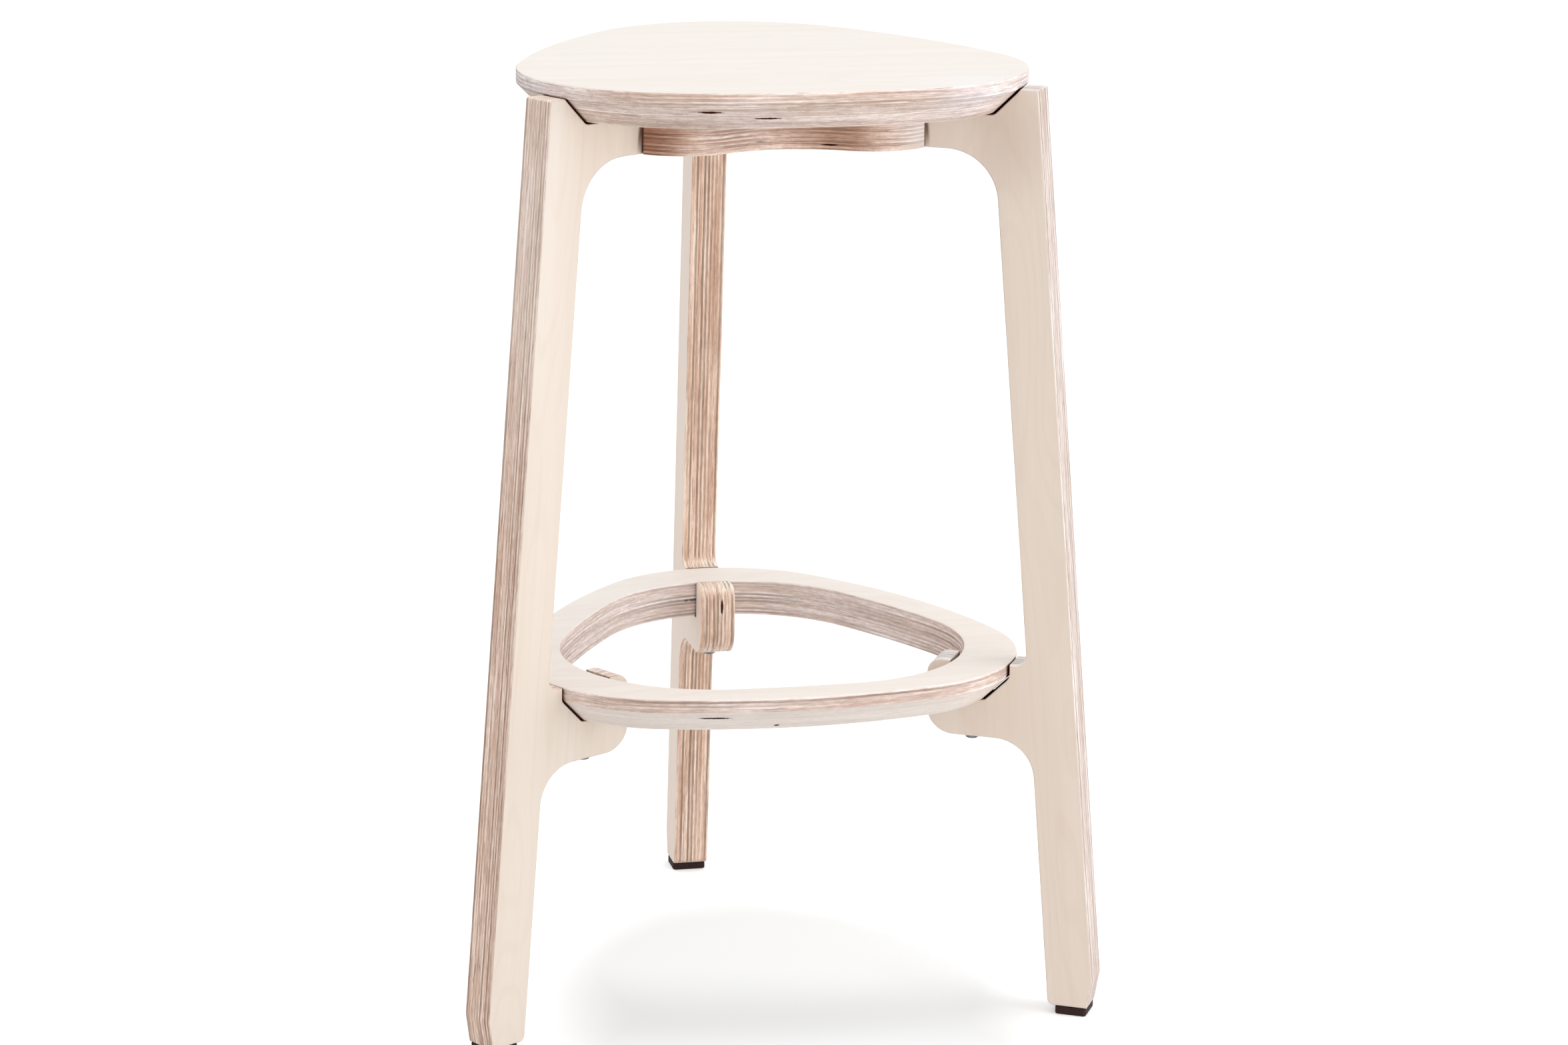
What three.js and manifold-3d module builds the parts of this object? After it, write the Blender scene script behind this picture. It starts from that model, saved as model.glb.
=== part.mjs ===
// A three-legged stacking stool cut from thick plywood. A rounded three-sided seat lies on a lobed hub
// plate. Each leg is a flat blade with a head that cradles the seat's rim, an arm that lies in a slot of
// the hub, and a corbel with a U-shaped cradle that holds the footrest ring. Dark pads shoe the legs.
// Millimetres, +Z up, the floor at z = 0. The back leg stands towards +Y.
import * as THREE from 'three';
import { mergeVertices } from 'three/addons/utils/BufferGeometryUtils.js';
import Module from 'manifold-3d';

const wasm = await Module();
wasm.setup();

// Heights
const seat_top = 650;
const ring_top = 247;

// The boards and their rims
const board = 25.5;              // plywood of the seat, hub, legs and footrest ring
const band = 9;                  // upright part of the seat's and ring's rim, above its slope
const rim_slope = THREE.MathUtils.degToRad(45);
const edge_ease = 0.8;           // fine bevel along cut edges

// The outlines of the seat, of the ring and of the ring's hole are triangles with bowed sides and round
// corners. A tip lies on the middle of a corner, a drop is how much nearer to the axis the middle of a
// side lies, and a bow is the radius of a side. The radius of a corner follows from them.
const seat_tip = 181.2;
const seat_drop = 29.4;
const seat_bow = 416.4;
const ring_drop = 31.7;
const ring_bow = 384.8;
const ring_width = 37.7;         // between the ring's two outlines, at their tips
const hole_drop = 20.7;
const hole_bow = 625.8;

// Hub
const hub_tip = 120.5;           // axis to the end of a lobe
const hub_waist = 66;            // axis to the middle of a hollow side
const hub_lobe = 47;             // radius of a lobe

// Legs
const leg_angles = { back: 90, left: 210, right: 330 };
const leg_splay = THREE.MathUtils.degToRad(5.08);
const leg_width = 32.5;          // across the blade, measured level
const head_wall = 12;            // wood outside the seat's rim, at the top of the head
const head_round = 2;            // outer corner of the head
const ledge = 12;                // from the blade's inner edge to the ring's notch
const foot_chamfer_rise = 20;
const foot_chamfer_inset = 5;
const foot_round = 4.5;          // inner corner of the foot
const arm_end = 48;              // axis to the inner end of an arm
const arm_drop = 1;              // how much lower an arm's top lies than the hub's
const arm_fillet = 36;
const notch_round = 4;           // root of the head's notch

// Corbels and their cradles
const corbel_depth = 27;         // wood under the ring
const corbel_fillet = 28;
const hook_length = 16.5;        // wood inside the ring's inner wall
const hook_top_round = 10;
const hook_nose_round = 19;
const ledge_fillet = 8;          // between the leg and the ledge level with the ring
const band_round = 4;            // where the cradle's upright wall meets its slope
const cradle_round = 2.5;        // root of the cradle's slope

// Clearances
const seating_gap = 0.3;         // between faces that bear on each other
const cradle_gap = 1.2;          // beside the seat's rim and the ring's outer rim, at their tips
const hook_gap = 1.6;            // between the ring's inner wall and a hook
const slot_gap = 1.2;            // round an arm in the hub's slot
const overrun = 2;               // how far a cutting solid runs past what it cuts
const weld = 0.0001;             // corners closer than this are one

// Foot pads
const pad_height = 6;
const pad_inset = 0.5;           // pad inside the foot's outline
const pad_round = 2.5;
const pad_ease = 0.8;
const pad_recess = 1.6;          // floor to the screw's head

// Screws
const screw_radius = 2.2;
const screw_head_radius = 4.2;
const screw_head_rise = 2.8;
const screw_point = 5;
const pan_head_radius = 4.6;     // the ring's screws have pan heads that stand proud
const pan_head_rise = 4.2;
const pan_head_round = 1.4;
const screw_socket_radius = 1.9;
const screw_socket_depth = 1.5;
const screw_recess = 0.8;        // how deep a head sits in the wood
const screw_gap = 0.3;           // round a screw in its hole
const seat_bite = 14;            // length inside the seat
const ring_bite = 15;            // length inside the ring
const pad_bite = 22;             // length inside a foot
const hub_screw_radius = 42;     // axis to a screw between two arms

// Fineness of curves
const corner_steps = 18;
const side_steps = 14;
const arc_segments = 4;
const round_segments = 20;
const socket_sides = 6;

// Derived heights and places
const turn = THREE.MathUtils.degToRad;
const right_angle = turn(90);
const half_turn = turn(180);
const corner_to_side = turn(60);
const seat_bottom = seat_top - board;
const ring_bottom = ring_top - board;
const rim_inset = (board - band) / Math.tan(rim_slope);
const hub_top = seat_bottom - seating_gap;
const hub_bottom = hub_top - board;
const arm_top = hub_top - arm_drop;
const head_top = seat_top - band;
const foot_bottom = pad_height + seating_gap;
const cradle_floor = ring_bottom - seating_gap;
const corbel_bottom = cradle_floor - corbel_depth;
const half_board = board / 2;

// Level distance from the axis to the leg's outer and inner edge at height z.
const seat_notch = seat_tip + cradle_gap;
const outerEdge = (z) => seat_notch + head_wall + (head_top - z) * Math.tan(leg_splay);
const innerEdge = (z) => outerEdge(z) - leg_width;

// The two arcs of an outline, which meet smoothly: where their centres lie, and their radii.
function arcsOf({ tip, drop, bow }) {
  const side_centre = bow - (tip - drop);
  const beyond = bow - tip;
  const corner_centre = (side_centre ** 2 - beyond ** 2) / (2 * beyond - side_centre);
  return { corner_centre, corner: tip - corner_centre, side_centre, bow };
}

const ring_notch = innerEdge(ring_top) - ledge;
const ring_tip = ring_notch - cradle_gap;
const hole_tip = ring_tip - ring_width;
const seat_outline = arcsOf({ tip: seat_tip, drop: seat_drop, bow: seat_bow });
const ring_outline = arcsOf({ tip: ring_tip, drop: ring_drop, bow: ring_bow });
const hole_outline = arcsOf({ tip: hole_tip, drop: hole_drop, bow: hole_bow });

// Where the hole's corner arc crosses the flat faces of a leg.
const hole_at_leg = hole_outline.corner_centre
  + Math.sqrt(hole_outline.corner ** 2 - half_board ** 2);
const hook_wall = hole_at_leg - hook_gap;
const hook_tip = hook_wall - hook_length;
const arm_screw_radius = (arm_end + hub_tip) / 2;
const ring_screw_radius = (hole_tip + ring_tip - rim_inset) / 2;
const foot_inner = innerEdge(foot_bottom) + foot_round;
const foot_outer = outerEdge(foot_bottom) - foot_chamfer_inset;
const foot_centre = (foot_inner + foot_outer) / 2;

// The origin is under the middle of the stool's bounding box, so the axis stands a little off it.
const back_reach = outerEdge(foot_bottom + foot_chamfer_rise);
const foot_front_reach = back_reach * Math.cos(corner_to_side) + half_board * Math.sin(corner_to_side);
const front_reach = Math.max(seat_tip - seat_drop, ring_tip - ring_drop, foot_front_reach);
const axis_y = (front_reach - back_reach) / 2;

// Finishes
const finish = (color, roughness, metalness = 0) =>
  new THREE.MeshStandardMaterial({ color, roughness, metalness });
const plywood = finish(0xf0e2d2, 0.55);
const dark_pad = finish(0x1d1210, 0.6);
const zinc = finish(0xb8bcc0, 0.35, 1);

// Closed solids from geometries, and back.
function solid(geometry) {
  const bare = geometry.clone();
  bare.deleteAttribute('normal');
  bare.deleteAttribute('uv');
  const merged = mergeVertices(bare, weld);
  return new wasm.Manifold(new wasm.Mesh({
    numProp: 3,
    vertProperties: new Float32Array(merged.attributes.position.array),
    triVerts: new Uint32Array(merged.index.array),
  }));
}

function fromSolid(manifold) {
  const { vertProperties, triVerts } = manifold.getMesh();
  const geometry = new THREE.BufferGeometry();
  geometry.setAttribute('position', new THREE.BufferAttribute(vertProperties, 3));
  geometry.setIndex(new THREE.BufferAttribute(triVerts, 1));
  geometry.computeVertexNormals();
  return geometry;
}

function cut(geometry, tools) {
  const left = tools.reduce((body, tool) => body.subtract(solid(tool)), solid(geometry));
  return fromSolid(left);
}

// A closed outline through corners [x, y, radius], each rounded by an arc of its own radius.
function roundedOutline(corners) {
  const shape = new THREE.Shape();
  corners.forEach(([x, y, radius], i) => {
    const at = new THREE.Vector2(x, y);
    if (!radius) {
      if (i) shape.lineTo(x, y);
      else shape.moveTo(x, y);
      return;
    }
    const before = new THREE.Vector2(...corners.at(i - 1)).sub(at).normalize();
    const after = new THREE.Vector2(...corners[(i + 1) % corners.length]).sub(at).normalize();
    const half_angle = Math.acos(before.dot(after)) / 2;
    const bisector = before.clone().add(after).normalize();
    const centre = at.clone().addScaledVector(bisector, radius / Math.sin(half_angle));
    const reach = radius / Math.tan(half_angle);
    const start = at.clone().addScaledVector(before, reach).sub(centre).angle();
    const end = at.clone().addScaledVector(after, reach).sub(centre).angle();
    shape.absarc(centre.x, centre.y, radius, start, end, before.cross(after) > 0);
  });
  return shape;
}

// A flat board cut to an outline, with its long edges eased, centred on the outline's plane.
function cutBoard(shape, thickness, ease) {
  const geometry = new THREE.ExtrudeGeometry(shape, {
    depth: thickness - 2 * ease,
    bevelThickness: ease,
    bevelSize: ease,
    bevelOffset: -ease,
    bevelSegments: 1,
    curveSegments: arc_segments,
  });
  return geometry.translate(0, 0, ease - thickness / 2);
}

// Points round a triangle with bowed sides and round corners, its first corner towards +Y. Corner arcs
// and side arcs meet smoothly, and an inset keeps their centres, so that it stays parallel.
function bowedTriangle({ corner_centre, corner, side_centre, bow }, inset) {
  const side_half = Math.atan2(
    corner_centre * Math.sin(corner_to_side),
    corner_centre * Math.cos(corner_to_side) + side_centre,
  );
  const corner_half = corner_to_side - side_half;
  const points = [];
  const addArc = (centre, middle, half, radius, steps) => {
    for (let i = 0; i < steps; i += 1) {
      const angle = middle - half + (2 * half * i) / steps;
      points.push(new THREE.Vector2(
        centre.x + (radius - inset) * Math.cos(angle),
        centre.y + (radius - inset) * Math.sin(angle),
      ));
    }
  };
  for (const degrees of Object.values(leg_angles)) {
    const towards_corner = turn(degrees);
    const towards_side = towards_corner + corner_to_side;
    const corner_at = new THREE.Vector2(Math.cos(towards_corner), Math.sin(towards_corner));
    const side_at = new THREE.Vector2(Math.cos(towards_side), Math.sin(towards_side));
    addArc(corner_at.multiplyScalar(corner_centre), towards_corner, corner_half, corner, corner_steps);
    addArc(side_at.multiplyScalar(-side_centre), towards_side, side_half, bow, side_steps);
  }
  return points;
}

// A skin over level loops of equal point counts. An open stack gets a fan at each end, and a ring's
// last loop joins its first.
function loft(loops, is_ring) {
  const count = loops[0].points.length;
  const positions = loops.flatMap(({ points, z }) => points.flatMap((p) => [p.x, p.y, z]));
  const index = [];
  const spans = is_ring ? loops.length : loops.length - 1;
  for (let level = 0; level < spans; level += 1) {
    const low = level * count;
    const high = ((level + 1) % loops.length) * count;
    for (let i = 0; i < count; i += 1) {
      const next = (i + 1) % count;
      index.push(low + i, low + next, high + next, low + i, high + next, high + i);
    }
  }
  if (!is_ring) {
    const top = (loops.length - 1) * count;
    const low_middle = loops.length * count;
    const high_middle = low_middle + 1;
    positions.push(0, 0, loops[0].z, 0, 0, loops.at(-1).z);
    for (let i = 0; i < count; i += 1) {
      const next = (i + 1) % count;
      index.push(low_middle, next, i, high_middle, top + i, top + next);
    }
  }
  const geometry = new THREE.BufferGeometry();
  geometry.setAttribute('position', new THREE.Float32BufferAttribute(positions, 3));
  geometry.setIndex(index);
  return geometry;
}

// The rim that seat and ring share, from the board's underside up: a slope, a band and an eased edge.
function rimLoops(outline, top) {
  const at = (inset, z) => ({ points: bowedTriangle(outline, inset), z });
  return [
    at(rim_inset, top - board),
    at(0, top - band),
    at(0, top - edge_ease),
    at(edge_ease, top),
  ];
}

// A screw stands point up with its bearing end at height zero: a countersunk head above it, or a pan
// head below it. Each profile runs from the axis round the head to the neck.
const countersunk_profile = [
  [0, 0],
  [screw_head_radius, 0],
  [screw_radius, screw_head_rise],
];
const pan_profile = [
  [0, -pan_head_rise],
  ...[90, 45, 0].map((degrees) => [
    pan_head_radius - pan_head_round * (1 - Math.cos(turn(degrees))),
    -pan_head_rise + pan_head_round * (1 - Math.sin(turn(degrees))),
  ]),
  [pan_head_radius, 0],
  [screw_radius, 0],
];

const lathed = (profile) =>
  new THREE.LatheGeometry(
    profile.map(([radius, z]) => new THREE.Vector2(radius, z)),
    round_segments,
  ).rotateX(right_angle);

function screwGeometry({ head, start, end }) {
  const length = end - start;
  const body = lathed([...head, [screw_radius, length - screw_point], [0, length]]);
  const socket = new THREE.CylinderGeometry(
    screw_socket_radius,
    screw_socket_radius,
    2 * screw_socket_depth,
    socket_sides,
  );
  return cut(body, [socket.rotateX(right_angle).translate(0, 0, head[0][1])]);
}

// The four kinds of screw: the distance from the axis, where the bearing end lies, and the point.
const hub_start = hub_bottom + screw_recess;
const hub_end = seat_bottom + seat_bite;
const screws = {
  arm: { head: countersunk_profile, radius: arm_screw_radius, start: hub_start, end: hub_end },
  hub: { head: countersunk_profile, radius: hub_screw_radius, start: hub_start, end: hub_end },
  ring: {
    head: pan_profile,
    radius: ring_screw_radius,
    start: corbel_bottom - seating_gap,
    end: ring_bottom + ring_bite,
  },
  pad: {
    head: countersunk_profile,
    radius: foot_centre,
    start: pad_recess,
    end: foot_bottom + pad_bite,
  },
};

// The clearance hole for a screw, open below from the given height. A pan head needs only its shank's.
function screwHole({ head, radius, start, end }, underside) {
  const mouth = underside - start - overrun;
  const wide = screw_radius + screw_gap;
  const tip = end - start + screw_gap;
  const entry = head === countersunk_profile
    ? [[screw_head_radius + screw_gap, mouth], [screw_head_radius + screw_gap, 0],
      [wide, screw_head_rise + screw_gap]]
    : [[wide, mouth]];
  const hole = lathed([[0, mouth], ...entry, [wide, tip - screw_point], [0, tip]]);
  return hole.translate(radius, 0, start);
}

const atEachLeg = (geometry) =>
  Object.values(leg_angles).map((degrees) => geometry.clone().rotateZ(turn(degrees)));

const betweenLegs = (geometry) => atEachLeg(geometry.clone().rotateZ(half_turn));

function seatGeometry() {
  return cut(loft(rimLoops(seat_outline, seat_top), false), [
    ...atEachLeg(screwHole(screws.arm, hub_bottom)),
    ...betweenLegs(screwHole(screws.hub, hub_bottom)),
  ]);
}

function ringGeometry() {
  const hole = (outset, z) => ({ points: bowedTriangle(hole_outline, -outset), z });
  const loops = [
    ...rimLoops(ring_outline, ring_top),
    hole(edge_ease, ring_top),
    hole(0, ring_top - edge_ease),
    hole(0, ring_bottom + edge_ease),
    hole(edge_ease, ring_bottom),
  ];
  return cut(loft(loops, true), atEachLeg(screwHole(screws.ring, corbel_bottom)));
}

// Three lobes under the arms, joined by hollow arcs that run tangent to them.
function hubOutline() {
  const lobe_centre = hub_tip - hub_lobe;
  const along = lobe_centre * Math.cos(corner_to_side);
  const across = lobe_centre * Math.sin(corner_to_side);
  const start = hub_waist - along;
  const hollow = (start ** 2 + across ** 2 - hub_lobe ** 2) / (2 * (hub_lobe - start));
  const hollow_centre = hub_waist + hollow;
  const hollow_half = Math.atan2(across, hollow_centre - along);
  const lobe_half = corner_to_side + hollow_half;
  const shape = new THREE.Shape();
  for (const degrees of Object.values(leg_angles)) {
    const lobe = turn(degrees);
    const side = lobe + corner_to_side;
    shape.absarc(
      lobe_centre * Math.cos(lobe),
      lobe_centre * Math.sin(lobe),
      hub_lobe,
      lobe - lobe_half,
      lobe + lobe_half,
      false,
    );
    shape.absarc(
      hollow_centre * Math.cos(side),
      hollow_centre * Math.sin(side),
      hollow,
      side + half_turn + hollow_half,
      side + half_turn - hollow_half,
      true,
    );
  }
  return shape;
}

function hubGeometry() {
  const plate = cutBoard(hubOutline(), board, edge_ease).translate(0, 0, hub_bottom + half_board);
  const slot_start = arm_end - slot_gap;
  const slot_length = hub_tip - slot_start + overrun;
  const slot = new THREE.BoxGeometry(slot_length, board + 2 * slot_gap, board + 2 * overrun);
  slot.translate(slot_start + slot_length / 2, 0, hub_bottom + half_board);
  return cut(plate, [
    ...atEachLeg(slot),
    ...betweenLegs(screwHole(screws.hub, hub_bottom)),
  ]);
}

// The leg's outline in its own upright plane: level distance from the axis, then height.
function legOutline() {
  const down_slope = (rise) => rise / Math.tan(rim_slope);
  const chamfer_top = foot_bottom + foot_chamfer_rise;
  return roundedOutline([
    [outerEdge(foot_bottom) - foot_chamfer_inset, foot_bottom, 0],
    [outerEdge(chamfer_top), chamfer_top, 0],
    [outerEdge(head_top), head_top, head_round],
    [seat_notch, head_top, 0],
    [seat_notch - down_slope(head_top - arm_top), arm_top, notch_round],
    [arm_end, arm_top, 0],
    [arm_end, hub_bottom, 0],
    [innerEdge(hub_bottom), hub_bottom, arm_fillet],
    [innerEdge(ring_top), ring_top, ledge_fillet],
    [ring_notch, ring_top, 0],
    [ring_notch, ring_top - band, band_round],
    [ring_notch - down_slope(ring_top - band - cradle_floor), cradle_floor, cradle_round],
    [hook_wall, cradle_floor, 0],
    [hook_wall, ring_top, 0],
    [hook_tip, ring_top, hook_top_round],
    [hook_tip, corbel_bottom, hook_nose_round],
    [innerEdge(corbel_bottom), corbel_bottom, corbel_fillet],
    [innerEdge(foot_bottom), foot_bottom, foot_round],
  ]);
}

function legGeometry() {
  const blade = cutBoard(legOutline(), board, edge_ease).rotateX(right_angle);
  return cut(blade, [
    screwHole(screws.arm, hub_bottom),
    screwHole(screws.ring, corbel_bottom),
    screwHole(screws.pad, 0),
  ]);
}

function padGeometry() {
  const half_width = half_board - pad_inset;
  const inner = foot_inner + pad_inset;
  const outer = foot_outer - pad_inset;
  const outline = roundedOutline([
    [inner, -half_width, pad_round],
    [outer, -half_width, pad_round],
    [outer, half_width, pad_round],
    [inner, half_width, pad_round],
  ]);
  const pad = cutBoard(outline, pad_height, pad_ease).translate(0, 0, pad_height / 2);
  return cut(pad, [screwHole(screws.pad, 0)]);
}

function mesh(name, geometry, material) {
  const piece = new THREE.Mesh(geometry, material);
  piece.name = name;
  return piece;
}

function screwMesh(name, screw) {
  const piece = mesh(name, screwGeometry(screw), zinc);
  piece.position.set(screw.radius, 0, screw.start);
  return piece;
}

// One leg with what is fastened to it, in the plane that its group turns to the leg's place.
function legAssembly(name, degrees) {
  const group = new THREE.Group();
  group.rotation.z = turn(degrees);
  group.add(
    mesh(`leg_${name}`, legGeometry(), plywood),
    mesh(`foot_pad_${name}`, padGeometry(), dark_pad),
    screwMesh(`arm_screw_${name}`, screws.arm),
    screwMesh(`ring_screw_${name}`, screws.ring),
    screwMesh(`pad_screw_${name}`, screws.pad),
  );
  return group;
}

// The hub's own screw on the far side from a leg, between the two other arms.
function hubScrewAssembly(name, degrees) {
  const group = new THREE.Group();
  group.rotation.z = turn(degrees) + half_turn;
  group.add(screwMesh(`hub_screw_opposite_${name}`, screws.hub));
  return group;
}

const stool = new THREE.Group();
stool.position.y = axis_y;
stool.add(
  mesh('seat', seatGeometry(), plywood),
  mesh('hub_plate', hubGeometry(), plywood),
  mesh('footrest_ring', ringGeometry(), plywood),
);
for (const [name, degrees] of Object.entries(leg_angles)) {
  stool.add(legAssembly(name, degrees), hubScrewAssembly(name, degrees));
}

export default stool;
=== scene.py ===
"""Dresses a three-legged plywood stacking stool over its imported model.

The seat and the footrest ring grow from one Geometry Nodes tree, the hub plate and the legs are
boards cut in mesh code, and the screws and foot pads are repeated round the stool's axis by a
second tree.
Lengths are in metres, +Z is up, and the back leg stands towards +Y.
"""

from __future__ import annotations

import logging
import math
from collections.abc import Iterable, Sequence
from dataclasses import dataclass, field
from enum import Enum
from typing import Any

import bmesh
import bpy
from mathutils import Matrix, Vector

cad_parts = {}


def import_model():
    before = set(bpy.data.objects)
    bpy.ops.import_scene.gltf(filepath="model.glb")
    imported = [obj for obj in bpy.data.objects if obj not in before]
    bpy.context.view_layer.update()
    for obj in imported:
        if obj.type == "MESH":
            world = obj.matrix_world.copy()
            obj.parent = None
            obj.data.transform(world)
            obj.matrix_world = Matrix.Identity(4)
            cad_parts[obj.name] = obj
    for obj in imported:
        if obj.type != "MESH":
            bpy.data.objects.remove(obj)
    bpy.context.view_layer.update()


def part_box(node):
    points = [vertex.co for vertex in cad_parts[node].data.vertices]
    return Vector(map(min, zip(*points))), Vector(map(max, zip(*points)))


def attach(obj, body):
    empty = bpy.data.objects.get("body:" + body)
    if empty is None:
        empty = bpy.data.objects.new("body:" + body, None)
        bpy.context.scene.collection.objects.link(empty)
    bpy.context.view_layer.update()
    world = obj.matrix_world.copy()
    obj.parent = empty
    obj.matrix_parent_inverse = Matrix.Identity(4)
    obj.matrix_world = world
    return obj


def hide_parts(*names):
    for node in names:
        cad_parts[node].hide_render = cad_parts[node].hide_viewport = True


LOG = logging.getLogger("stool")
BODY = "root"

MM = 0.001
SEAT_TOP = 650 * MM
RING_TOP = 247 * MM
BOARD = 25.5 * MM
BAND = 9 * MM
RIM_SLOPE = math.radians(45)
SEATING_GAP = 0.3 * MM
CRADLE_GAP = 1.2 * MM
PAD_HEIGHT = 6 * MM
HUB_TIP = 120.5 * MM
ARM_END = 48 * MM
OVERRUN = 2 * MM
CORNER_TO_SIDE = math.radians(60)
HALF_TURN = math.pi
FULL_TURN = 2 * math.pi

SEAT_BOTTOM = SEAT_TOP - BOARD
RING_BOTTOM = RING_TOP - BOARD
HUB_TOP = SEAT_BOTTOM - SEATING_GAP
HUB_BOTTOM = HUB_TOP - BOARD
RIM_INSET = (BOARD - BAND) / math.tan(RIM_SLOPE)
FOOT_BOTTOM = PAD_HEIGHT + SEATING_GAP
CORBEL_DEPTH = 27 * MM
CORBEL_BOTTOM = RING_BOTTOM - SEATING_GAP - CORBEL_DEPTH

Place = tuple[float, float, float]
Span = tuple[float, float]
Colour = tuple[float, float, float, float]


def mm(*lengths: float) -> tuple[float, ...]:
    """Turns lengths in millimetres into metres."""
    return tuple(length * MM for length in lengths)


class Leg(Enum):
    """The three legs, by the direction in which each stands from the axis, in degrees."""

    BACK = 90
    LEFT = 210
    RIGHT = 330

    @property
    def turn(self) -> float:
        """The leg's direction in radians."""
        return math.radians(self.value)

    @property
    def label(self) -> str:
        """The leg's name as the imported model's nodes spell it."""
        return self.name.lower()


class Head(Enum):
    """The two kinds of screw head."""

    COUNTERSUNK = "countersunk"
    PAN = "pan"


@dataclass(frozen=True)
class Outline:
    """A triangle with bowed sides and round corners, measured from its middle.

    The tip is the middle of a corner, the drop is how much nearer the middle of a side lies, and
    the bow is the radius of a side.
    """

    tip: float
    drop: float
    bow: float

    @property
    def side_centre(self) -> float:
        """How far beyond the middle the centre of a side's arc lies."""
        return self.bow - (self.tip - self.drop)

    @property
    def corner_centre(self) -> float:
        """How far from the middle the centre of a corner's arc lies."""
        beyond = self.bow - self.tip
        return (self.side_centre**2 - beyond**2) / (2 * beyond - self.side_centre)

    @property
    def corner(self) -> float:
        """The radius of a corner's arc."""
        return self.tip - self.corner_centre

    def reach(self, offset: float) -> float:
        """Where the corner's arc crosses a line beside the corner's middle line.

        Args:
            offset: how far beside the middle line it runs.

        Returns:
            The distance along the line.
        """
        return self.corner_centre + math.sqrt(self.corner**2 - offset**2)


SEAT_OUTLINE = Outline(*mm(181.2, 29.4, 416.4))
RING_OUTLINE = Outline(*mm(183.7, 31.7, 384.8))
HOLE_OUTLINE = Outline(*mm(146, 20.7, 625.8))


class Wiring:
    """Adds nodes to a tree and links them, so that a tree reads as a list of steps."""

    def __init__(self, tree: bpy.types.NodeTree) -> None:
        """Keeps the tree that the nodes go into."""
        self.tree = tree

    def node(self, kind: str, feeds: dict[str | int, Any] | None = None, **settings: Any) -> Any:
        """Adds one node.

        Args:
            kind: the node's type.
            feeds: values or sockets for its inputs, by name or place.
            settings: the node's own properties.

        Returns:
            The node.
        """
        node = self.tree.nodes.new(kind)
        for name, value in settings.items():
            setattr(node, name, value)
        for key, value in (feeds or {}).items():
            self.feed(node.inputs[key], value)
        return node

    def feed(self, socket: Any, value: Any) -> None:
        """Links an input to a socket or a node's first output, or sets its own value.

        Args:
            socket: the input.
            value: a node, a socket or a plain value.
        """
        if isinstance(value, bpy.types.Node):
            value = value.outputs[0]
        if isinstance(value, bpy.types.NodeSocket):
            self.tree.links.new(value, socket)
        else:
            socket.default_value = value

    def math(self, operation: str, *values: Any) -> Any:
        """Adds a Math node and returns its output."""
        feeds = dict(enumerate(values))
        return self.node("ShaderNodeMath", feeds, operation=operation).outputs[0]

    def vector(self, operation: str, *values: Any) -> Any:
        """Adds a Vector Math node and returns its vector output."""
        feeds = dict(enumerate(values))
        return self.node("ShaderNodeVectorMath", feeds, operation=operation).outputs[0]

    def length(self, vector: Any) -> Any:
        """Measures how long a vector is."""
        node = self.node("ShaderNodeVectorMath", {0: vector}, operation="LENGTH")
        return node.outputs["Value"]

    def combine(self, x: Any = 0.0, y: Any = 0.0, z: Any = 0.0) -> Any:
        """Makes one vector from three numbers."""
        return self.node("ShaderNodeCombineXYZ", {0: x, 1: y, 2: z}).outputs[0]

    def blend(self, share: Any, low: Any, high: Any) -> Any:
        """Goes from the number low to the number high as the share goes from 0 to 1."""
        return self.node("ShaderNodeMix", {0: share, 2: low, 3: high}).outputs[0]

    def tint(self, share: Any, low: Any, high: Any, mode: str = "MIX") -> Any:
        """Goes from the colour low to the colour high as the share goes from 0 to 1."""
        node = self.node(
            "ShaderNodeMix", {0: share, 6: low, 7: high}, data_type="RGBA", blend_type=mode
        )
        return node.outputs[2]

    def times(self, colour: Any, tone: Any) -> Any:
        """Multiplies a colour by a tone."""
        return self.tint(1.0, colour, tone, mode="MULTIPLY")

    def grey(self, level: Any) -> Any:
        """Makes a grey of a level."""
        return self.combine(level, level, level)

    def noise(self, place: Any, grain: Grain) -> Any:
        """Adds a noise that is stretched as the grain says.

        Args:
            place: where the noise is read.
            grain: the noise's cells and detail.

        Returns:
            The noise's value.
        """
        stretched = self.vector("MULTIPLY", place, grain.cells)
        feeds = {"Vector": stretched, "Scale": 1.0, "Detail": grain.detail}
        return self.node("ShaderNodeTexNoise", feeds).outputs[0]

    def stepped(self, value: Any, grain: Grain) -> Any:
        """Maps a noise, or a value made from one, by the grain's smooth step."""
        return self.ramp(value, *grain.span, *grain.gives)

    def surface(
        self, feeds: dict[str | int, Any], height: Any, strength: float, depth: float
    ) -> None:
        """Ends a material with its shader and its bump.

        Args:
            feeds: what goes into the shader, apart from the bump.
            height: the bump's height, as a share of its depth.
            strength: how much of the bump shows.
            depth: the height of a bump of 1.
        """
        bump = self.node(
            "ShaderNodeBump", {"Strength": strength, "Distance": depth, "Height": height}
        )
        shader = self.node("ShaderNodeBsdfPrincipled", {**feeds, "Normal": bump})
        self.node("ShaderNodeOutputMaterial", {"Surface": shader})

    def ramp(self, value: Any, start: Any, end: Any, low: Any = 0.0, high: Any = 1.0) -> Any:
        """Maps a value smoothly from the span start to end onto the span low to high."""
        node = self.node(
            "ShaderNodeMapRange",
            {0: value, 1: start, 2: end, 3: low, 4: high},
            interpolation_type="SMOOTHSTEP",
        )
        return node.outputs[0]


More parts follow.
